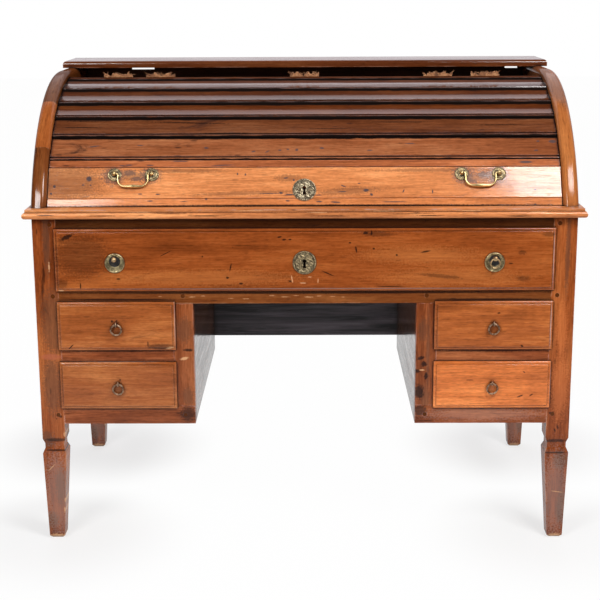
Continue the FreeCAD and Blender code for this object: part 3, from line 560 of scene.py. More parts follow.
def frame_matrix(place, out, upward):
    """A matrix that sets local Z along out and local Y along upward."""
    turn = Matrix((upward.cross(out), upward, out)).transposed().to_4x4()
    return Matrix.Translation(place) @ turn


def lathe(name, profile, segments):
    """Turn an outline of (radius, height) points about local Z; radius 0 closes an end."""
    verts, rows, faces = [], [], []
    for radius, height in profile:
        count = segments if radius else 1
        rows.append(range(len(verts), len(verts) + count))
        for number in range(count):
            turn = math.tau * number / segments
            verts.append((radius * math.cos(turn), radius * math.sin(turn), height))
    for low, high in zip(rows, rows[1:]):
        for number in range(segments):
            corners = [low[number % len(low)], low[(number + 1) % len(low)],
                       high[(number + 1) % len(high)], high[number % len(high)]]
            faces.append(tuple(dict.fromkeys(corners)))
    return smooth_mesh(name, verts, faces)


def tube(name, points, radii, sides=18, closed=False):
    """A round tube along points, with a radius at each point."""
    count = len(points)
    verts, faces = [], []
    normal = None
    for index, point in enumerate(points):
        before = points[index - 1] if index or closed else point
        after = points[(index + 1) % count] if index < count - 1 or closed else point
        tangent = (after - before).normalized()
        if normal is None:
            normal = tangent.orthogonal().normalized()
        normal = (normal - tangent * normal.dot(tangent)).normalized()
        other = tangent.cross(normal)
        for side in range(sides):
            turn = math.tau * side / sides
            verts.append(point + (normal * math.cos(turn) + other * math.sin(turn)) * radii[index])
    for index in range(count if closed else count - 1):
        low, high = index * sides, ((index + 1) % count) * sides
        for side in range(sides):
            after = (side + 1) % sides
            faces.append((low + side, low + after, high + after, high + side))
    if not closed:
        faces.append(tuple(range(sides)))
        faces.append(tuple(range((count - 1) * sides, count * sides)))
    return smooth_mesh(name, verts, faces)


def relief_disc(name, radius, height_at, rings, segments):
    """A round plate whose face follows height_at(radius, angle); its back is flat."""
    verts, faces = [(0, 0, height_at(0, 0))], []
    for ring in range(1, rings + 1):
        reach = radius * ring / rings
        for number in range(segments):
            turn = math.tau * number / segments
            verts.append((reach * math.cos(turn), reach * math.sin(turn), height_at(reach, turn)))
    rim = len(verts)
    verts += [(x, y, 0) for x, y, _ in verts[rim - segments:]]
    verts.append((0, 0, 0))
    for number in range(segments):
        after = (number + 1) % segments
        faces.append((0, 1 + number, 1 + after))
        for ring in range(rings):
            low, high = 1 + ring * segments, 1 + (ring + 1) * segments
            faces.append((low + number, high + number, high + after, low + after))
        faces.append((rim + number, len(verts) - 1, rim + after))
    return smooth_mesh(name, verts, faces, sharp_angle=60)


def cut(mesh, cutter, name):
    """The mesh with a closed cutter taken out of it."""
    whole = new_object(name + "_whole", mesh)
    tool = new_object(name + "_tool", cutter)
    change = whole.modifiers.new("cut", "BOOLEAN")
    change.operation = "DIFFERENCE"
    change.object = tool
    change.solver = "EXACT"
    ready = bpy.context.evaluated_depsgraph_get()
    made = bpy.data.meshes.new_from_object(whole.evaluated_get(ready))
    made.name = name
    for piece in (whole, tool):
        bpy.data.objects.remove(piece)
    made.shade_smooth()
    made.set_sharp_from_angle(angle=math.radians(50))
    return made


def bump_at(distance, size):
    """A round hump of that half width, 1 at its middle and 0 past its edge."""
    share = min(abs(distance) / size, 1.0)
    return math.sqrt(1 - share * share)


def beads_at(radius, turn, ring, count, size):
    """A ring of round beads."""
    beside = ((turn * count / math.tau) % 1.0 - 0.5) * math.tau / count * ring
    return bump_at(math.hypot(radius - ring, beside), size)


def scaled_profile(points):
    return [(radius * MM, height * MM) for radius, height in points]


# Escutcheons

PLATE_RADIUS = 26.0 * MM
PLATE_RINGS = 60
PLATE_SEGMENTS = 304
PLATE_THICKNESS = 1.2 * MM
BEAD_RING = 23.6 * MM
BEAD_COUNT = 38
BEAD_HALF = 2.0 * MM
BEAD_HEIGHT = 1.7 * MM
RIDGE_RING = 20.2 * MM
RIDGE_HALF = 1.0 * MM
RIDGE_HEIGHT = 0.8 * MM
FIELD_RING = 13.6 * MM
FIELD_HALF = 6.0 * MM
SCROLL_HEIGHT = 0.85 * MM
LEAF_HEIGHT = 0.45 * MM
COLLAR_RING = 7.6 * MM
COLLAR_HALF = 1.2 * MM
COLLAR_HEIGHT = 0.9 * MM
PLATE_LEAST = 0.3 * MM
KEY_RADIUS = 4.2 * MM
KEY_RISE = 4.0 * MM
KEY_DROP = 11.8 * MM
KEY_WAIST = 2.1 * MM
KEY_FOOT = 4.0 * MM
KEY_WAIST_DROP = 2.0 * MM
KEY_REACH = 12.0 * MM
KEY_OPENING = 58
KEY_STEPS = 16


def plate_height(radius, turn):
    """A beaded rim, a ridge inside it, and leafy scrolls in pairs about the keyhole."""
    height = PLATE_THICKNESS + BEAD_HEIGHT * beads_at(radius, turn, BEAD_RING, BEAD_COUNT, BEAD_HALF)
    height += RIDGE_HEIGHT * bump_at(radius - RIDGE_RING, RIDGE_HALF)
    field = bump_at(radius - FIELD_RING, FIELD_HALF)
    swirl = math.sin(4 * turn + 5.0 * math.sin(2 * turn) + radius / MM * 0.6)
    leaf = math.sin(14 * turn - radius / MM * 1.1)
    height += field * (SCROLL_HEIGHT * swirl + LEAF_HEIGHT * leaf)
    height += COLLAR_HEIGHT * bump_at(radius - COLLAR_RING, COLLAR_HALF) * abs(math.cos(turn)) ** 0.3
    return max(height, PLATE_LEAST)


def keyhole_mesh():
    """A keyhole, round above and wide-footed below, as a prism."""
    outline = []
    for step in range(KEY_STEPS + 1):
        turn = math.radians(-KEY_OPENING + step * (180 + 2 * KEY_OPENING) / KEY_STEPS)
        outline.append((KEY_RADIUS * math.cos(turn), KEY_RISE + KEY_RADIUS * math.sin(turn)))
    outline += [(-KEY_WAIST, -KEY_WAIST_DROP), (-KEY_FOOT, KEY_FOOT / 2 - KEY_DROP)]
    outline += [(-KEY_FOOT * 0.8, -KEY_DROP), (KEY_FOOT * 0.8, -KEY_DROP)]
    outline += [(KEY_FOOT, KEY_FOOT / 2 - KEY_DROP), (KEY_WAIST, -KEY_WAIST_DROP)]
    count = len(outline)
    verts = [(x, y, z) for z in (-KEY_REACH, KEY_REACH) for x, y in outline]
    faces = [tuple(range(count)), tuple(range(count, 2 * count))]
    faces += [(i, (i + 1) % count, count + (i + 1) % count, count + i) for i in range(count)]
    return smooth_mesh("keyhole", verts, faces, sharp_angle=30)


def escutcheon(name, node, body, material, place, out, upward):
    relief = relief_disc(name + "_relief", PLATE_RADIUS, plate_height, PLATE_RINGS, PLATE_SEGMENTS)
    mesh = cut(relief, keyhole_mesh(), name)
    mesh.transform(frame_matrix(place, out, upward))
    add_object(name, mesh, material, body, "brass", node)


escutcheon("wide_drawer_plate", "wide_drawer_escutcheon", "wide_drawer", brass["drawer_plate"],
           on_drawers(box_middle("wide_drawer_escutcheon")), front, up)
escutcheon("lid_plate", "lid_escutcheon", "roll", brass["lid_plate"],
           on_lid(box_middle("lid_escutcheon")), lid_out, lid_up)


# Bail handles on the lid

BAIL_HALF_SPAN = 41.5 * MM
BAIL_ARM = 33.5 * MM
BAIL_DROP = 29.5 * MM
BAIL_CORNER = 16.0 * MM
BAIL_TILT = math.radians(4.0)
BAIL_WIRE = 2.2 * MM
BAIL_GRIP = 4.1 * MM
BAIL_GRIP_HALF = 24.0 * MM
BAIL_HOOK = 3.0 * MM
BAIL_HOOK_DROP = 0.4 * MM
ARM_STEPS = 4
CORNER_STEPS = 9
GRIP_STEPS = 12
POST_SEGMENTS = 48
BALL_OPENING = 55
BALL_STEPS = 12
# Turned outlines and their balls are in millimetres, as (radius, height)
BAIL_BALL = 4.7
POST_STEM = 2.6
ROSETTE_SEGMENTS = 72
ROSETTE_PROFILE = ((0, 0), (15.6, 0), (15.6, 0.5), (15.0, 1.3), (14.1, 1.6), (13.2, 1.2), (12.5, 0.5),
                   (11.6, 0.5), (11.0, 1.2), (10.0, 1.9), (9.0, 1.9), (8.2, 1.2), (7.6, 0.5), (6.6, 0.6),
                   (5.6, 1.6), (4.4, 2.4), (3.4, 2.6), (0, 2.6))


def ball_profile(centre, radius, stem, start):
    """A stem that carries a ball, in millimetres from the plate."""
    points = [(0, start), (stem, start)]
    for step in range(BALL_STEPS + 1):
        turn = math.radians(-BALL_OPENING + step * (90 + BALL_OPENING) / BALL_STEPS)
        points.append((radius * math.cos(turn), centre + radius * math.sin(turn)))
    points[-1] = (0, centre + radius)
    return scaled_profile(points)


def bail_post(name, place, reach):
    """A turned rosette and the post through it, whose ball stands that far from the lid."""
    rosette = lathe(name + "_rosette", scaled_profile(ROSETTE_PROFILE), ROSETTE_SEGMENTS)
    post = lathe(name + "_post", ball_profile(reach / MM, BAIL_BALL, POST_STEM, 1.0), POST_SEGMENTS)
    for mesh, material in ((rosette, brass["dark"]), (post, brass["bail"])):
        mesh.transform(frame_matrix(place, lid_out, lid_up))
        add_object(mesh.name, mesh, material, "roll", "brass", "bail_posts")


def bail_path(pivot):
    """Points down one arm, along the grip and up the other arm, with each point's radius."""
    down = -lid_up * math.cos(BAIL_TILT) - lid_out * math.sin(BAIL_TILT)
    straight = BAIL_DROP - BAIL_CORNER
    flat = [(-BAIL_ARM - BAIL_HOOK, 0.0), (-BAIL_ARM - BAIL_HOOK / 3, BAIL_HOOK_DROP)]
    flat += [(-BAIL_ARM, straight * step / ARM_STEPS) for step in range(1, ARM_STEPS + 1)]
    for step in range(1, CORNER_STEPS + 1):
        turn = math.pi / 2 * step / CORNER_STEPS
        flat.append((BAIL_CORNER * (1 - math.cos(turn)) - BAIL_ARM, straight + BAIL_CORNER * math.sin(turn)))
    half = len(flat)
    inner = BAIL_ARM - BAIL_CORNER
    flat += [(-inner + 2 * inner * step / GRIP_STEPS, BAIL_DROP) for step in range(1, GRIP_STEPS)]
    flat += [(-x, drop) for x, drop in reversed(flat[:half])]
    points = [pivot + across * x + down * drop for x, drop in flat]
    radii = []
    for x, drop in flat:
        swell = max(0.0, math.cos(min(abs(x) / BAIL_GRIP_HALF, 1) * math.pi / 2)) ** 1.5
        radii.append(BAIL_WIRE + (BAIL_GRIP - BAIL_WIRE) * (swell if drop > straight else 0))
    return points, radii


for side in ("left", "right"):
    pivot = Vector(joints[side + "_bail_lift"]["pos_m"])
    points, radii = bail_path(pivot)
    add_object(side + "_bail_handle", tube(side + "_bail_handle", points, radii), brass["bail"],
               side + "_bail", "brass", side + "_bail")
    for end, offset in (("outer", -1), ("inner", 1)):
        place = on_lid(pivot) + across * (offset * BAIL_HALF_SPAN)
        bail_post("%s_bail_%s" % (side, end), place, (pivot - lid_face).dot(lid_out))


# Pulls on the wide drawer

PULL_RADIUS = 22.0 * MM
PULL_RINGS = 56
PULL_SEGMENTS = 176
PULL_RIM_RING = 19.8 * MM
PULL_RIM_HALF = 2.4 * MM
PULL_RIM_HEIGHT = 3.0 * MM
PULL_EDGE = 0.4 * MM
PULL_DISH = 0.9 * MM
PULL_DISH_RADIUS = 10 * MM
PULL_DISH_SLOPE = 0.2
PULL_FLOOR = 0.5 * MM
PULL_LIP_HALF = 0.9 * MM
PULL_LIP_HEIGHT = 0.5 * MM
PULL_WALL = 1.2 * MM
PULL_RECESS = 12.6 * MM
PULL_RECESS_RISE = 4.0 * MM
PULL_POST_RISE = 10.0 * MM
PULL_EYE = 3.0 * MM
PULL_EYE_REACH = 8 * MM
PULL_BALL = 5.6


def pull_height(radius, turn):
    """A dished plate with a thick worn rim, sunk round the post."""
    wobble = (0.12 * math.sin(9 * turn) + 0.09 * math.sin(17 * turn + 1.0)) * MM
    rim = (PULL_RIM_HEIGHT + wobble) * bump_at(radius - PULL_RIM_RING, PULL_RIM_HALF)
    dish = PULL_DISH + max(0.0, min(radius, PULL_RIM_RING) - PULL_DISH_RADIUS) * PULL_DISH_SLOPE
    height = max(rim, dish if radius < PULL_RIM_RING else PULL_EDGE)
    beside = math.hypot(radius * math.cos(turn), radius * math.sin(turn) - PULL_RECESS_RISE)
    sunk = max(0.0, min(1.0, (PULL_RECESS - beside) / PULL_WALL))
    lip = PULL_LIP_HEIGHT * bump_at(beside - PULL_RECESS, PULL_LIP_HALF)
    return height + (PULL_FLOOR - height) * sunk + lip


def wide_pull(name, place, reach):
    plate = relief_disc(name + "_rosette", PULL_RADIUS, pull_height, PULL_RINGS, PULL_SEGMENTS)
    plate.transform(frame_matrix(place, front, up))
    add_object(plate.name, plate, brass["rim"], "wide_drawer", "brass", "wide_drawer_rosettes")
    plate.materials.append(brass["recess"])
    recess = place + up * PULL_RECESS_RISE
    for face in plate.polygons:
        beside = face.center - recess
        face.material_index = int(math.hypot(beside.x, beside.z) < PULL_RECESS)
    post = lathe(name + "_post", ball_profile(reach / MM, PULL_BALL, POST_STEM, 0.3), POST_SEGMENTS)
    ends = [Vector((side * PULL_EYE_REACH, 0, reach)) for side in (-1, 1)]
    post = cut(post, tube(name + "_eye", ends, [PULL_EYE] * 2, sides=24), name + "_post")
    post.transform(frame_matrix(place + up * PULL_POST_RISE, front, up))
    add_object(post.name, post, brass["ball"], "wide_drawer", "brass", "wide_drawer_rosettes")


ring_pivot = Vector(joints["right_pull_ring_lift"]["pos_m"])
rosette_z = box_middle("wide_drawer_rosettes").z
for name, side in (("left_pull", -1), ("right_pull", 1)):
    wide_pull(name, Vector((side * ring_pivot.x, drawer_face.y, rosette_z)), drawer_face.y - ring_pivot.y)


# Hanging rings

RING_STEPS = 72
RING_BEND = 0.012
PULL_RING_RADIUS = 10.2 * MM
PULL_RING_WIRE = 1.6 * MM
SMALL_RING_RADIUS = 11.6 * MM
SMALL_RING_WIRE = 1.9 * MM


def hang_ring(name, joint, node, radius, wire, material):
    """A hand-bent ring that hangs from its joint, not quite round."""
    pivot = Vector(joints[joint]["pos_m"])
    phase = random.Random(name).uniform(0, math.tau)
    points, radii = [], []
    for number in range(RING_STEPS):
        turn = math.tau * number / RING_STEPS + math.pi / 2
        reach = radius * (1 + RING_BEND * math.sin(2 * turn + phase) * (1 - math.sin(turn)))
        points.append(pivot - up * radius + (across * math.cos(turn) + up * math.sin(turn)) * reach)
        radii.append(wire * (1 + 0.05 * math.sin(3 * turn + phase)))
    add_object(name, tube(name, points, radii, sides=20, closed=True), material, node, "brass", node)


hang_ring("right_pull_hanging_ring", "right_pull_ring_lift", "right_pull_ring",
          PULL_RING_RADIUS, PULL_RING_WIRE, brass["ball"])
for name in drawer_names:
    hang_ring(name + "_hanging_ring", name + "_ring_lift", name + "_ring",
              SMALL_RING_RADIUS, SMALL_RING_WIRE, brass["ring"])


# Canvas straps, frayed where they end above the top slat

STRAP_COLUMNS = 28
STRAP_ROWS = 40
STRAP_FRAY = 8.0 * MM
STRAP_RISE = 1.2 * MM
STRAP_THICKNESS = 1.1 * MM
STRAP_CORNER = 3.0 * MM
BEND_STEPS = 4
TIP_STEPS = 8
THREAD_RADIUS = 0.7 * MM
THREADS = 26
THREAD_LEAN = 9.0 * MM
THREAD_SWAY = (-3.0 * MM, 1.0 * MM)
THREAD_TOP = (-6.0 * MM, 0.8 * MM)
THREAD_ROOT = 1.0 * MM


def strap_shape():
    """Left edges of the straps, their width, and the band's radius, angles and tip radius."""
    radii, turns = roll_spans("canvas_straps")
    edges = sorted({round(spot.x, 4) for spot in node_points("canvas_straps", roll_axis)})
    inner, tip = min(radii), max(radii) + STRAP_RISE
    return edges[0::2], edges[1] - edges[0], inner + STRAP_THICKNESS / 2, min(turns), max(turns), tip


def roll_place(x, radius, turn):
    return Vector((x, roll_axis.y - radius * math.cos(turn), roll_axis.z + radius * math.sin(turn)))


def strap_path(radius, low, high, tip):
    """Radius and angle of each row, up the band, round its bend and out to the tip."""
    bend = STRAP_CORNER / radius
    rows = [(radius, low + (high - bend - low) * step / STRAP_ROWS) for step in range(STRAP_ROWS + 1)]
    for step in range(1, BEND_STEPS + 1):
        turn = math.pi / 2 * step / BEND_STEPS
        rows.append((radius + STRAP_CORNER * (1 - math.cos(turn)), high - bend + bend * math.sin(turn)))
    start = radius + STRAP_CORNER
    rows += [(start + (tip - start) * step / TIP_STEPS, high) for step in range(1, TIP_STEPS + 1)]
    return rows


def strap(name, left, width, radius, low, high, tip):
    draw = random.Random(name)
    phase = draw.uniform(0, math.tau)
    tops = []
    for column in range(STRAP_COLUMNS + 1):
        ragged = 0.72 + 0.40 * math.sin(column * 0.55 + phase) + draw.uniform(-0.40, 0.40)
        tops.append(tip - STRAP_FRAY * max(0.0, ragged))
    high -= STRAP_THICKNESS / 2 / radius
    verts, places, faces = [], [], []
    for column, top in enumerate(tops):
        path = strap_path(radius, low, high, top)
        x = left + width * column / STRAP_COLUMNS
        run = 0.0
        for row, (reach, turn) in enumerate(path):
            spot = roll_place(x, reach, turn)
            if row:
                run += (spot - verts[-1]).length
            verts.append(spot)
            places.append((x, run))
    count = len(path)
    for column in range(STRAP_COLUMNS):
        for row in range(count - 1):
            base = column * count + row
            faces.append((base, base + count, base + count + 1, base + 1))
    mesh = smooth_mesh(name, verts, faces, sharp_angle=180)
    uv = mesh.uv_layers.new(name="UVMap")
    for loop in mesh.loops:
        uv.data[loop.index].uv = places[loop.vertex_index]
    piece = add_object(name, mesh, canvas, "roll", "canvas", "canvas_straps")
    thick = piece.modifiers.new("thickness", "SOLIDIFY")
    thick.thickness = STRAP_THICKNESS
    thick.offset = 0
    fringe = strap_fringe(name + "_fringe", draw, left, width, high, tip)


def strap_fringe(name, draw, left, width, turn, tip):
    """Loose threads that stand up from a strap's frayed end."""
    threads = bmesh.new()
    for _ in range(THREADS):
        x = left + width * draw.uniform(0.01, 0.99)
        lean = draw.uniform(-THREAD_LEAN, THREAD_LEAN)
        sway = draw.uniform(*THREAD_SWAY) / tip
        top = tip + draw.uniform(*THREAD_TOP)
        low = tip - STRAP_FRAY - THREAD_ROOT
        points = [roll_place(x + lean * share ** 2, low + (top - low) * share, turn + sway * share ** 2)
                  for share in (0, 0.35, 0.7, 1)]
        part = tube(name, points, [THREAD_RADIUS] * 3 + [THREAD_RADIUS * 0.5], sides=6)
        threads.from_mesh(part)
        bpy.data.meshes.remove(part)
    mesh = bpy.data.meshes.new(name)
    threads.to_mesh(mesh)
    threads.free()
    return add_object(name, mesh, canvas, "roll", "canvas", "canvas_straps")


strap_lefts, strap_width, *strap_rest = strap_shape()
for number, left in enumerate(strap_lefts, start=1):
    strap("canvas_strap_%d" % number, left, strap_width, *strap_rest)


# Marks on the boards, among them painted highlights and shade, placed by their pixels in the photograph

RAIL_TOP_RISE = 0.38


def roll_face(node, turn):
    """A flat face that lies close to a slat's front, from its angle in degrees."""
    turn = math.radians(turn)
    out = Vector((0, -math.cos(turn), math.sin(turn)))
    return roll_axis + out * farthest(node, roll_axis, out), out, Vector((0, math.sin(turn), math.cos(turn)))


LID = (lid_face, lid_out, lid_up)
LOW_SLAT = roll_face("slat_6", 43.0)
FIFTH_SLAT = roll_face("slat_5", 50.0)
RAIL_TOP = (roll_axis + up * RAIL_TOP_RISE, front, up)
DRAWERS = (drawer_face, front, up)
FRAME = (frame_face, front, up)
desktop_middle = box_middle("desktop")
NOSE = (desktop_middle + front * farthest("desktop", desktop_middle, front), front, up)
BLUE_GREY = (0.055, 0.050, 0.060)
STAIN_GREY = (0.070, 0.062, 0.068)
SMOKE = (0.11, 0.050, 0.028)
PALE = (0.80, 0.45, 0.22)
GOLD = (0.70, 0.27, 0.075)
ORANGE = (0.72, 0.20, 0.055)
# Pale lilac, for painted highlights on the drawer lips
LIP_HIGHLIGHT = (0.58, 0.42, 0.37)
RED_PAINT = (0.46, 0.12, 0.06)
DUST = (0.60, 0.50, 0.46)
lid_gouges = (
    (89, 179, 3, 3), (83.3, 185, 1.6, .8), (90.5, 185.3, 1.2, .7), (54.5, 186.5, 1.5, 1.6),
    (51, 193.8, 1.2, 1.5), (158, 194.3, 2.4, .8), (140, 194, 2.6, .7), (206.2, 199, 1.5, 1.3),
    (237.5, 174, .9, 1.2), (245.4, 174.6, .9, 1.3), (286, 178, 2.4, .8, 8), (293.8, 180, 1.2, 1.2),
    (281, 193, 2, 1.3, -15), (289.5, 194.6, 5.5, 1, 3), (287.5, 200.7, 2.2, .9), (343.5, 186, 3, .7, -20),
    (342, 191.7, 5, .6, 4), (366, 190.2, 3, 1.6, 6), (371.5, 194.5, 1.8, 1.3, -30), (359, 183.4, 1.5, .6),
    (403.5, 191, .7, 2.2, -25), (432.6, 191.5, .7, 2.4), (319.5, 201.5, 3.6, .8), (335.5, 202, 5, .9, -3),
    (394, 201.6, 13, .6), (318.5, 195, 3, .7), (535.3, 189.5, 1, .9), (535.5, 204, 1.2, 1),
    (270, 193.4, 12, .45), (184, 201.3, 4, .5, 5), (150, 201, 3, .8))
# A painted shadow line along the gap under the lid's foot strip
foot_shadow_line = ((305, 205.9, 285, 2),)
lid_stains = (
    (113, 176, 12, 10), (150, 175.5, 11, 9), (463, 175, 11, 10), (498, 174.5, 11, 10), (129, 173, 8, 3.5),
    (137, 179, 7, 2.5), (484, 174.5, 8, 4), (471, 181, 7, 2.6))
lid_smudges = (
    (133, 176, 17, 5.5, -6), (480, 177, 17, 6), (66, 183, 40, 24), (250, 193, 60, 2.2, 2),
    (350, 191, 34, 4, 4), (288, 178, 14, 4), (430, 170, 60, 2), (180, 171, 50, 2))
slat_gouges = (
    (253.5, 151.3, 2.2, 1, 10), (267.3, 151.3, 2.8, .8, 35), (279.8, 149.9, 1.8, 1), (287.9, 149, 1.6, 1),
    (296.8, 149.5, 1.6, 1.7), (321.9, 147.7, 2.2, 1.2), (538, 140.6, 1.8, 1), (552.5, 141, 4, 2),
    (536, 150, 2.2, 1), (206, 147.5, 2.4, 1), (140, 145, 4, .7), (94, 146, 6, .8, 8), (410, 143, 5, .7),
    (370, 150, 3, .7))
fifth_streaks = (
    (105, 119.5, 38, 1.5, 2), (190, 122, 40, .9, -2), (80, 127, 22, .8), (225, 133, 25, .8),
    (400, 121, 30, .8), (330, 128, 22, .6), (500, 124, 26, .7))
rail_smoke = ((543, 80, 8, 20, 20), (571, 196, 5, 12))
nose_chips = (
    (60, 211, 9, .5), (140, 212.6, 12, .4), (250, 211.2, 16, .5), (318, 212.8, 10, .4),
    (385, 211.5, 14, .4), (470, 211, 14, .5), (540, 212.4, 9, .5))
# Dark patches along the desktop's nose, and a long band of painted shade on its top under the lid's foot
# strip
nose_marks_and_shade = (
    (45, 215.6, 8, .7), (102, 216, 14, .6), (205, 215.8, 18, .6), (330, 216, 20, .6), (430, 215.6, 14, .6),
    (520, 216, 14, .7), (300, 208.4, 270, .6), (34, 209, 8, .6), (170, 213.6, 20, .35),
    (410, 213.8, 24, .35))
strip_marks = (
    (129, 165, 4, .8), (122, 165.6, 3, .6), (150, 165.4, 4, .7), (526, 161.8, 7, 1.6), (180, 161, 9, .7),
    (223, 165.2, 12, .6, 2))
wide_gouges = (
    (66, 237.5, 7.5, 2.2, 22), (118.4, 279, 2.2, .9), (80.5, 286, .8, 3.2), (165, 253.8, 7, .5, 27),
    (279.5, 237, 2.3, 1, 12), (284, 239.7, 2.5, 1, 8), (290, 239.5, 1.6, .9), (202.3, 256.7, .9, .9),
    (230.5, 267.5, .7, 4.6, -12), (227.5, 277.7, 1.6, 1.3), (290, 281.2, 1.8, .9), (241, 283.6, 2.2, 1.1),
    (350, 242.8, 1.4, 1), (356.2, 249.5, 1, 3.6, 10), (373.8, 248.7, 1.2, 1.1), (365.5, 233, 2.8, 1.6),
    (371.5, 233, 1.1, 2.6), (426, 251.5, 5, 1, 10), (328, 273.5, 7, .7, -24), (396.8, 255, 1.2, 1),
    (390, 286.3, 15, .6), (511, 263.3, 2.2, .6))
wide_smudges = (
    (62, 284, 6, 5), (522.5, 252.5, 4, 2.5), (378, 234, 16, 3), (440, 276, 22, 2, -6), (80, 256, 30, 24),
    (549, 234.5, 7, 2.6), (523.5, 278.6, 7, 3))
wide_chips = (
    (61, 291, 3, .9), (292, 279, .7, 4, 12), (303, 283, 3.5, .6), (318, 281, .6, 2.6), (310, 277, 2, .5))
wide_glow = ((205, 278, 95, 8), (450, 277, 70, 9), (420, 255, 60, 9))
rail_chips = (
    (192, 297, 3, .6), (203, 296, 2, .5), (231, 298.4, 3, .4), (246, 298.8, 4, .4), (272, 295.6, 3, .5),
    (285, 296.8, 4, .5), (296, 295.5, 3, .4), (309, 297, 4, .8), (319, 296, 3, .6), (333, 296.3, 3, .4),
    (343, 297, 2, .4), (160, 296.5, 2, .4))
rail_shadow = ((305, 292.6, 252, 1.4), (118, 299.6, 60, 1), (492, 299.2, 60, 1))
post_repairs = ((51.5, 357, 11, 3.2),)
leg_scratches = (
    (51.5, 467.9, 5.6, .4, 45), (64.3, 434.3, 1.1, 2.6), (65.2, 500, .8, 2.4), (64.7, 510, .8, 3),
    (556.5, 491.8, 5.5, .5, -8), (58, 537, 9, 3.2), (555, 537, 9, 3.2), (49, 267, .8, 5))
# Grime on the legs; the wide bands at each leg's neck paint the shade of its notch
leg_grime_and_neck_shade = (
    (56.5, 440, 12, 2.2), (58, 450.5, 12, 1.1), (555, 452.5, 13, 1), (555, 441, 13, 2),
    (550, 413, 1.8, 1.2), (557.5, 427, 1.1, 2.8, 20), (554.7, 430, .9, 2.2, 20), (60.8, 416.6, 1.5, 1.5))
leg_smoke = (
    (52, 520, 8, 9), (561, 508, 5, 18), (61, 486, 6, 22), (47, 440, 8, 10), (560, 460, 8, 10),
    (53, 322, 13, 38), (46, 240, 4, 40), (568, 250, 2.5, 50), (52, 385, 9, 34))
post_glow = ((560, 388, 9, 34), (562, 330, 6, 30))
leg_dust = ((58, 495, 13, 48), (555, 495, 13, 48))
# Two dark blots on the bottom rails, and painted shade lines on the rails just under the small drawers
rail_blots_and_shade_lines = (
    (188, 414, 8, 9), (420, 410, 7, 6), (118, 408, 58, 1.3), (492, 407.6, 58, 1.3), (118, 350.6, 58, 1.5),
    (492, 350.2, 58, 1.5))
bottom_dust = ((482, 414, 62, 7),)
stile_blots = (
    (421, 358, 4, 2, 20), (424, 364, 3, 3), (417, 371, 3, 2), (426, 376, 2, 4), (419, 392, 5, 8),
    (188, 350, 5, 1.6))
stile_smoke = (
    (184, 330, 9, 14), (428, 350, 2, 50), (423, 330, 5, 13), (425, 398, 5, 14), (188, 396, 6, 10))
stile_chips = ((184.5, 358.5, 4.5, 1.6, 10), (422, 370, 3, .8))
upper_left_repair = ((161, 347, 15, 3.4), (148, 345, 1, 4))
upper_left_chip = ((170, 348, 4, 1.2, 10),)
lower_right_dashes = (
    (520, 396, 3.2, .8, 20), (531, 395, 2.2, .8, 30), (524, 372, 1.6, .6, -30), (470, 380, 4, .5))
# Painted highlights along the rounded lips of the drawers
wide_lip_highlights = ((305, 227.4, 246, .7), (305, 288.8, 246, .5), (554, 258, .5, 31))
upper_lip_highlights = ((118, 301.6, 57, .6), (174.5, 325, .5, 23), (493, 300.6, 57, .6), (551, 325, .5, 24))
lower_lip_highlights = ((118, 362.2, 57, .6), (492, 360.8, 57, .6), (550.5, 384, .5, 22))
drawer_dots = (
    (112, 321.5, 1.4, 1.4), (116.5, 321, 1.2, .9), (499, 313, 1.6, .9), (522, 346, 1.8, 1, -30),
    (71, 347, 4, .7, 45), (120, 380, 1.2, 1))

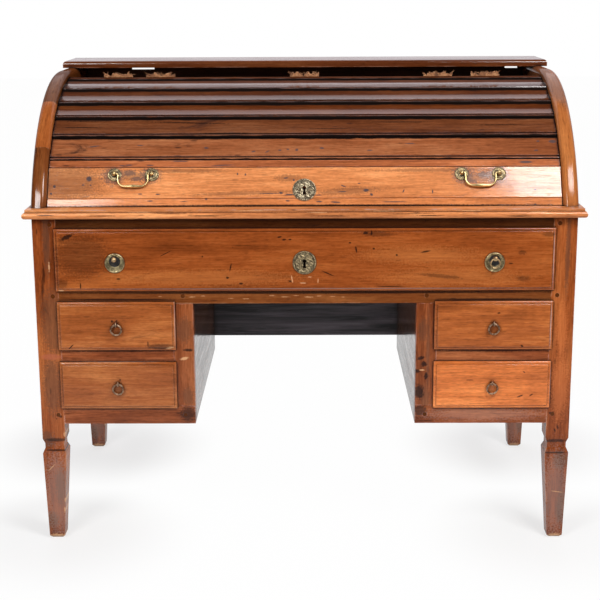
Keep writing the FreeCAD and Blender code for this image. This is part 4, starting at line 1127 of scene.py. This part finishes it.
# The face that a board's marks lie on, and their groups: colour, share, raggedness and marks
board_spots = {
    "lid": (LID, (SMOKE, 0.45, 2.4, lid_smudges), (STAIN_GREY, 0.62, 2.0, lid_stains),
            (BLUE_GREY, 0.9, 0.9, lid_gouges)),
    "lid_foot": (LID, (BLUE_GREY, 0.85, 0.9, lid_gouges), (GRIME_AND_SHADE, 0.95, 0.8, foot_shadow_line)),
    "slat_5": (FIFTH_SLAT, (GRIME_AND_SHADE, 0.75, 2.2, fifth_streaks)),
    "right_rail": (RAIL_TOP, (SMOKE, 0.6, 1.6, rail_smoke)),
    "desktop": (NOSE, (GRIME_AND_SHADE, 0.8, 1.6, nose_marks_and_shade), (PALE, 0.5, 2.2, nose_chips)),
    "lid_top": (LID, (BLUE_GREY, 0.8, 0.9, strip_marks)),
    "slat_6": (LOW_SLAT, (BLUE_GREY, 0.8, 0.9, slat_gouges)),
    "middle_rail": (FRAME, (GRIME_AND_SHADE, 0.8, 1.0, rail_shadow), (PALE, 0.4, 2.4, rail_chips)),
    "wide_front": (DRAWERS, (LIP_HIGHLIGHT, 0.5, 0.9, wide_lip_highlights), (GOLD, 0.16, 3.0, wide_glow),
                   (GRIME_AND_SHADE, 0.46, 2.0, wide_smudges), (GRIME_AND_SHADE, 0.85, 0.9, wide_gouges),
                   (PALE, 0.6, 1.6, wide_chips)),
    "leg": (FRAME, (SMOKE, 0.6, 1.8, leg_smoke), (RED_PAINT, 0.6, 1.2, post_repairs),
            (ORANGE, 0.35, 2.0, post_glow), (DUST, 0.17, 2.4, leg_dust),
            (GRIME_AND_SHADE, 0.75, 1.6, leg_grime_and_neck_shade), (PALE, 0.6, 1.8, leg_scratches)),
    "stile": (FRAME, (SMOKE, 0.5, 2.0, stile_smoke), (GRIME_AND_SHADE, 0.85, 1.6, stile_blots),
              (PALE, 0.7, 1.4, stile_chips)),
    "pedestal_rail": (FRAME, (DUST, 0.12, 2.4, bottom_dust), (GRIME_AND_SHADE, 0.7, 1.8, rail_blots_and_shade_lines)),
    "left_upper": (DRAWERS, (LIP_HIGHLIGHT, 0.4, 0.9, upper_lip_highlights), (GRIME_AND_SHADE, 0.6, 1.2, upper_left_repair),
                   (GRIME_AND_SHADE, 0.85, 0.9, drawer_dots), (PALE, 0.6, 1.2, upper_left_chip)),
    "left_lower": (DRAWERS, (LIP_HIGHLIGHT, 0.4, 0.9, lower_lip_highlights), (GRIME_AND_SHADE, 0.85, 0.9, drawer_dots)),
    "right_upper": (DRAWERS, (LIP_HIGHLIGHT, 0.6, 0.9, upper_lip_highlights), (GRIME_AND_SHADE, 0.85, 0.9, drawer_dots)),
    "right_lower": (DRAWERS, (LIP_HIGHLIGHT, 0.6, 0.9, lower_lip_highlights), (GRIME_AND_SHADE, 0.85, 0.9, lower_right_dashes)),
}


# Wood of the CAD nodes: board, nodes, grain, tone, figure, stain, wear with painted edge sheen, gloss and
# tint

PLAIN = (1.0, 1.0, 1.0)
PALE_ORANGE = (1.0, 1.30, 1.9)
SOFT = (1.0, 1.10, 1.7)
RUSSET = (1.04, 0.98, 1.25)
RED_BROWN = (1.04, 0.87, 0.82)
ROSE = (1.04, 0.92, 1.0)
DEEP = (1.05, 0.90, 0.74)
GREY_BROWN = (0.88, 1.06, 1.40)
# Tones differ board by board, and some paint light and shade: the top rail's low tone paints the shadow
# under the desktop's overhang, the upper slats' low tones paint the dimmer light on them, and the high tones
# of the lid, its foot strip, the desktop and the right lower drawer paint the brighter light on them
boards = (
    ("leg", "front_legs rear_legs", "z", 0.80, 3.0, 0.7, 0.9, 0.6, RED_BROWN),
    ("top_rail", "top_rail", "x", 0.28, 2.0, 0.6, 0.4, 0.5, PLAIN),
    ("middle_rail", "middle_rail", "x", 0.55, 2.0, 0.6, 0.5, 0.6, PLAIN),
    ("stile", "stiles", "z", 0.76, 2.6, 0.7, 0.6, 0.6, RUSSET),
    ("pedestal_rail", "pedestal_rails", "x", 0.84, 2.6, 0.7, 0.8, 0.6, RUSSET),
    ("side_panel", "side_panels", "z", 0.80, 2.2, 0.4, 0.5, 0.6, PLAIN),
    ("kneehole_panel", "kneehole_panels", "y", 0.40, 3.2, 0.4, 0.5, 1.0, GREY_BROWN),
    ("peg", "joint_pegs", "y", 0.3, 1.0, 0.2, 0.0, 0.3, PLAIN),
    ("desktop", "desktop", "x", 1.85, 2.2, 0.8, 1.0, 0.6, PALE_ORANGE),
    ("gable", "left_gable right_gable", "y", 0.8, 2.0, 0.4, 0.5, 0.6, PLAIN),
    ("right_rail", "right_rail", "arc", 0.84, 2.4, 0.6, 0.6, 0.5, PLAIN),
    ("left_rail_low", "left_rail_lower", "arc", 0.52, 2.4, 0.6, 0.4, 0.7, PLAIN),
    ("left_rail_mid", "left_rail_middle", "arc", 1.05, 2.2, 0.3, 0.4, 0.4, PLAIN),
    ("left_rail_top", "left_rail_upper", "arc", 0.34, 2.0, 0.5, 0.4, 0.3, PLAIN),
    ("top_board", "top_board", "x", 0.34, 2.0, 0.5, 0.5, 1.0, ROSE),
    ("lid", "lid_board", "x", 1.85, 1.9, 0.5, 0.5, 0.8, PALE_ORANGE),
    ("lid_foot", "lid_foot_strip", "x", 1.95, 1.8, 0.5, 0.6, 0.6, PALE_ORANGE),
    ("lid_top", "lid_top_strip", "x", 1.27, 2.2, 0.8, 0.6, 0.6, SOFT),
    ("slat_1", "slat_1", "x", 0.26, 1.8, 0.5, 0.5, 0.6, ROSE),
    ("slat_2", "slat_2", "x", 0.25, 2.2, 0.5, 0.5, 0.62, ROSE),
    ("slat_3", "slat_3", "x", 0.24, 2.2, 0.5, 0.5, 0.52, ROSE),
    ("slat_4", "slat_4", "x", 0.30, 2.2, 0.5, 0.5, 0.56, ROSE),
    ("slat_5", "slat_5", "x", 0.42, 2.4, 0.7, 0.5, 0.6, SOFT),
    ("slat_6", "slat_6", "x", 0.77, 2.2, 0.8, 0.6, 0.5, SOFT),
    ("wide_front", "wide_drawer_front", "x", 0.86, 2.2, 0.3, 0.8, 0.9, DEEP),
    ("left_upper", "left_upper_front", "x", 1.10, 2.2, 0.4, 0.9, 0.9, PLAIN),
    ("left_lower", "left_lower_front", "x", 1.04, 2.2, 0.4, 0.9, 0.9, PLAIN),
    ("right_upper", "right_upper_front", "x", 1.32, 2.2, 0.4, 0.9, 0.9, PLAIN),
    ("right_lower", "right_lower_front", "x", 2.05, 2.0, 0.4, 0.9, 0.9, PLAIN),
)
# Boards whose joint hardly shows, and the share of the usual painted shade and dirt in it
FLUSH_BOARDS = ("lid", "lid_foot")
FLUSH_CREASE = 0.3
WELD_REACH = 0.02 * MM
EASE_ANGLE = math.radians(38)
CASE_EASE = 0.9 * MM
SLAT_EASE = 0.4 * MM
FLUSH_EASE = 0.15 * MM


def dress(material, *names):
    for name in names:
        node = frame["nodes"][name]
        node.data.materials.clear()
        node.data.materials.append(material)


def soften(width, *names):
    """Ease the sharp edges of CAD nodes for the eye, without touching their meshes."""
    for name in names:
        node = frame["nodes"][name]
        weld = node.modifiers.new("weld", "WELD")
        weld.merge_threshold = WELD_REACH
        ease = node.modifiers.new("ease", "BEVEL")
        ease.width = width
        ease.segments = 2
        ease.limit_method = "ANGLE"
        ease.angle_limit = EASE_ANGLE
        shade = node.modifiers.new("shade", "WEIGHTED_NORMAL")
        shade.keep_sharp = False


for board, nodes, *look in boards:
    slat = nodes if nodes.startswith("slat") else None
    crease_shade = FLUSH_CREASE if board in FLUSH_BOARDS else 1.0
    face, *spots = board_spots.get(board, (None,))
    dress(walnut(board + "_walnut", *look, face, spots, slat, crease_shade), *nodes.split())
dress(stained_back, "lower_backs")
dress(back_wood, "upper_back")
dress(lining, "wide_drawer_box", "drawer_runners", *[name + "_box" for name in drawer_names])
dress(brass["ring"], *[name + "_staple" for name in drawer_names])
dress(iron, "lid_lock", "lid_bolt", "wide_drawer_lock", "wide_drawer_bolt")

soften(CASE_EASE, "front_legs", "rear_legs", "top_rail", "middle_rail", "stiles", "pedestal_rails",
       "side_panels", "desktop", "right_rail", "left_rail_lower", "left_rail_middle", "left_rail_upper",
       "top_board", "wide_drawer_front", *[name + "_front" for name in drawer_names])
soften(SLAT_EASE, "lid_top_strip", *["slat_%d" % number for number in range(1, 7)])
soften(FLUSH_EASE, "lid_board", "lid_foot_strip")


# Stage, light and camera

FLOOR_SIDE = 30
FLOOR_PAINT = (0.92, 0.92, 0.92, 1)
FLOOR_FADE = (0.08, 0.36)
FLOOR_WHITE_NEAR = 0.66
FLOOR_WHITE_AWAY = 0.985
AMBIENT = 0.22
BACKDROP_TINT = (0.97, 0.95, 1.0)
FRONT_GLOSS = 0.04
FLOOR_GLOSS = 0.9
FLOOR_GLOSS_FADE = (-2.6, -0.9)
BACKDROP_EDGE = (0.30, 0.40)
# Lamps: name, place, aim, width, height, watts and colour
LAMPS = (
    ("key_right", (1.22, -1.72, 2.62), (0.2, 0, 0.6), 0.85, 0.65, 53, (1, 1, 1)),
    ("fill_left", (-1.27, -2.4, 2.36), (-0.1, 0, 0.6), 0.85, 0.6, 40, (1, 1, 1)),
    ("back_top", (0, 2.1, 2.9), (0, 1.5, 0.9), 3.2, 2.6, 38, BACKDROP_TINT),
)


def ray_kinds(shader):
    """The kinds of ray, and a mask of those that come straight from the camera."""
    rays = shader.node("LightPath").outputs
    return rays, shader.most(rays["Is Camera Ray"], rays["Is Transmission Ray"])


def floor():
    """A pale floor that keeps the desk's shadow and fades to the white of the background."""
    bpy.ops.mesh.primitive_plane_add(size=FLOOR_SIDE)
    plane = bpy.context.object
    plane.name = "floor"
    material, shader, surface = new_material("floor_white")
    shader.paint(surface, {"Base Color": FLOOR_PAINT, "Roughness": 0.9, "Specular IOR Level": 0.1})
    rays, seen = ray_kinds(shader)
    place = shader.object_place()
    foot = box_middle("right_gable").x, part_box("front_legs")[0].y
    sides = shader.vector_math("ABSOLUTE", place, (0, 0, 0))
    beside = shader.length(shader.vector_math("SUBTRACT", sides, (foot[0], -foot[1], 0)))
    away = shader.spread(beside, *FLOOR_FADE, FLOOR_WHITE_NEAR, FLOOR_WHITE_AWAY)
    behind = shader.spread(shader.split(place)[1], *FLOOR_GLOSS_FADE, FRONT_GLOSS, FLOOR_GLOSS)
    level = shader.most(seen, behind)
    glow = shader.node("Emission", {"Color": shader.grey(level), "Strength": 1.0})
    share = shader.times_add(seen, away, rays["Is Glossy Ray"])
    blend = shader.node("MixShader", {0: share, 1: surface.outputs[0], 2: glow.outputs[0]})
    output = material.node_tree.nodes["Material Output"]
    material.node_tree.links.new(blend.outputs[0], output.inputs["Surface"])
    plane.data.materials.append(material)


def world_light():
    """A dim studio in front and a white backdrop overhead and behind, white to the camera all round."""
    world = bpy.data.worlds.new("studio")
    bpy.context.scene.world = world
    world.use_nodes = True
    shader = Shader(world.node_tree)
    backdrop = world.node_tree.nodes["Background"]
    rays, seen = ray_kinds(shader)
    direction = shader.split(shader.node("TexCoord").outputs["Generated"])
    behind = shader.spread(direction[1], *BACKDROP_EDGE, FRONT_GLOSS, 1.0)
    mirrored = shader.times(rays["Is Glossy Ray"], behind)
    direct = shader.most(rays["Is Glossy Ray"], seen)
    ambient = shader.times_add(direct, -AMBIENT, AMBIENT)
    level = shader.math("ADD", ambient, shader.most(seen, mirrored))
    tint = shader.mix(rays["Is Glossy Ray"], (1, 1, 1), BACKDROP_TINT)
    shader.fill(backdrop.inputs["Color"], shader.mix(1.0, shader.grey(level), tint, "MULTIPLY"))


def softbox(name, place, aim, width, height, watts, colour):
    lamp = bpy.data.lights.new(name, "AREA")
    lamp.shape = "RECTANGLE"
    lamp.size, lamp.size_y = width, height
    lamp.energy = watts
    lamp.color = colour
    light = new_object(name, lamp)
    light.location = place
    light.rotation_euler = (Vector(aim) - Vector(place)).to_track_quat("-Z", "Y").to_euler()
    light.visible_camera = False


def photo_camera():
    lens = bpy.data.cameras.new("camera")
    lens.sensor_width = CAMERA_SENSOR
    lens.lens = CAMERA_LENS
    camera = new_object("camera", lens)
    right, above, ahead = camera_axes()
    turn = Matrix((right, above, -ahead)).transposed().to_4x4()
    camera.matrix_world = Matrix.Translation(CAMERA_PLACE) @ turn
    bpy.context.scene.camera = camera


floor()
world_light()
for lamp in LAMPS:
    softbox(*lamp)
photo_camera()
bpy.context.scene.view_settings.view_transform = "Standard"
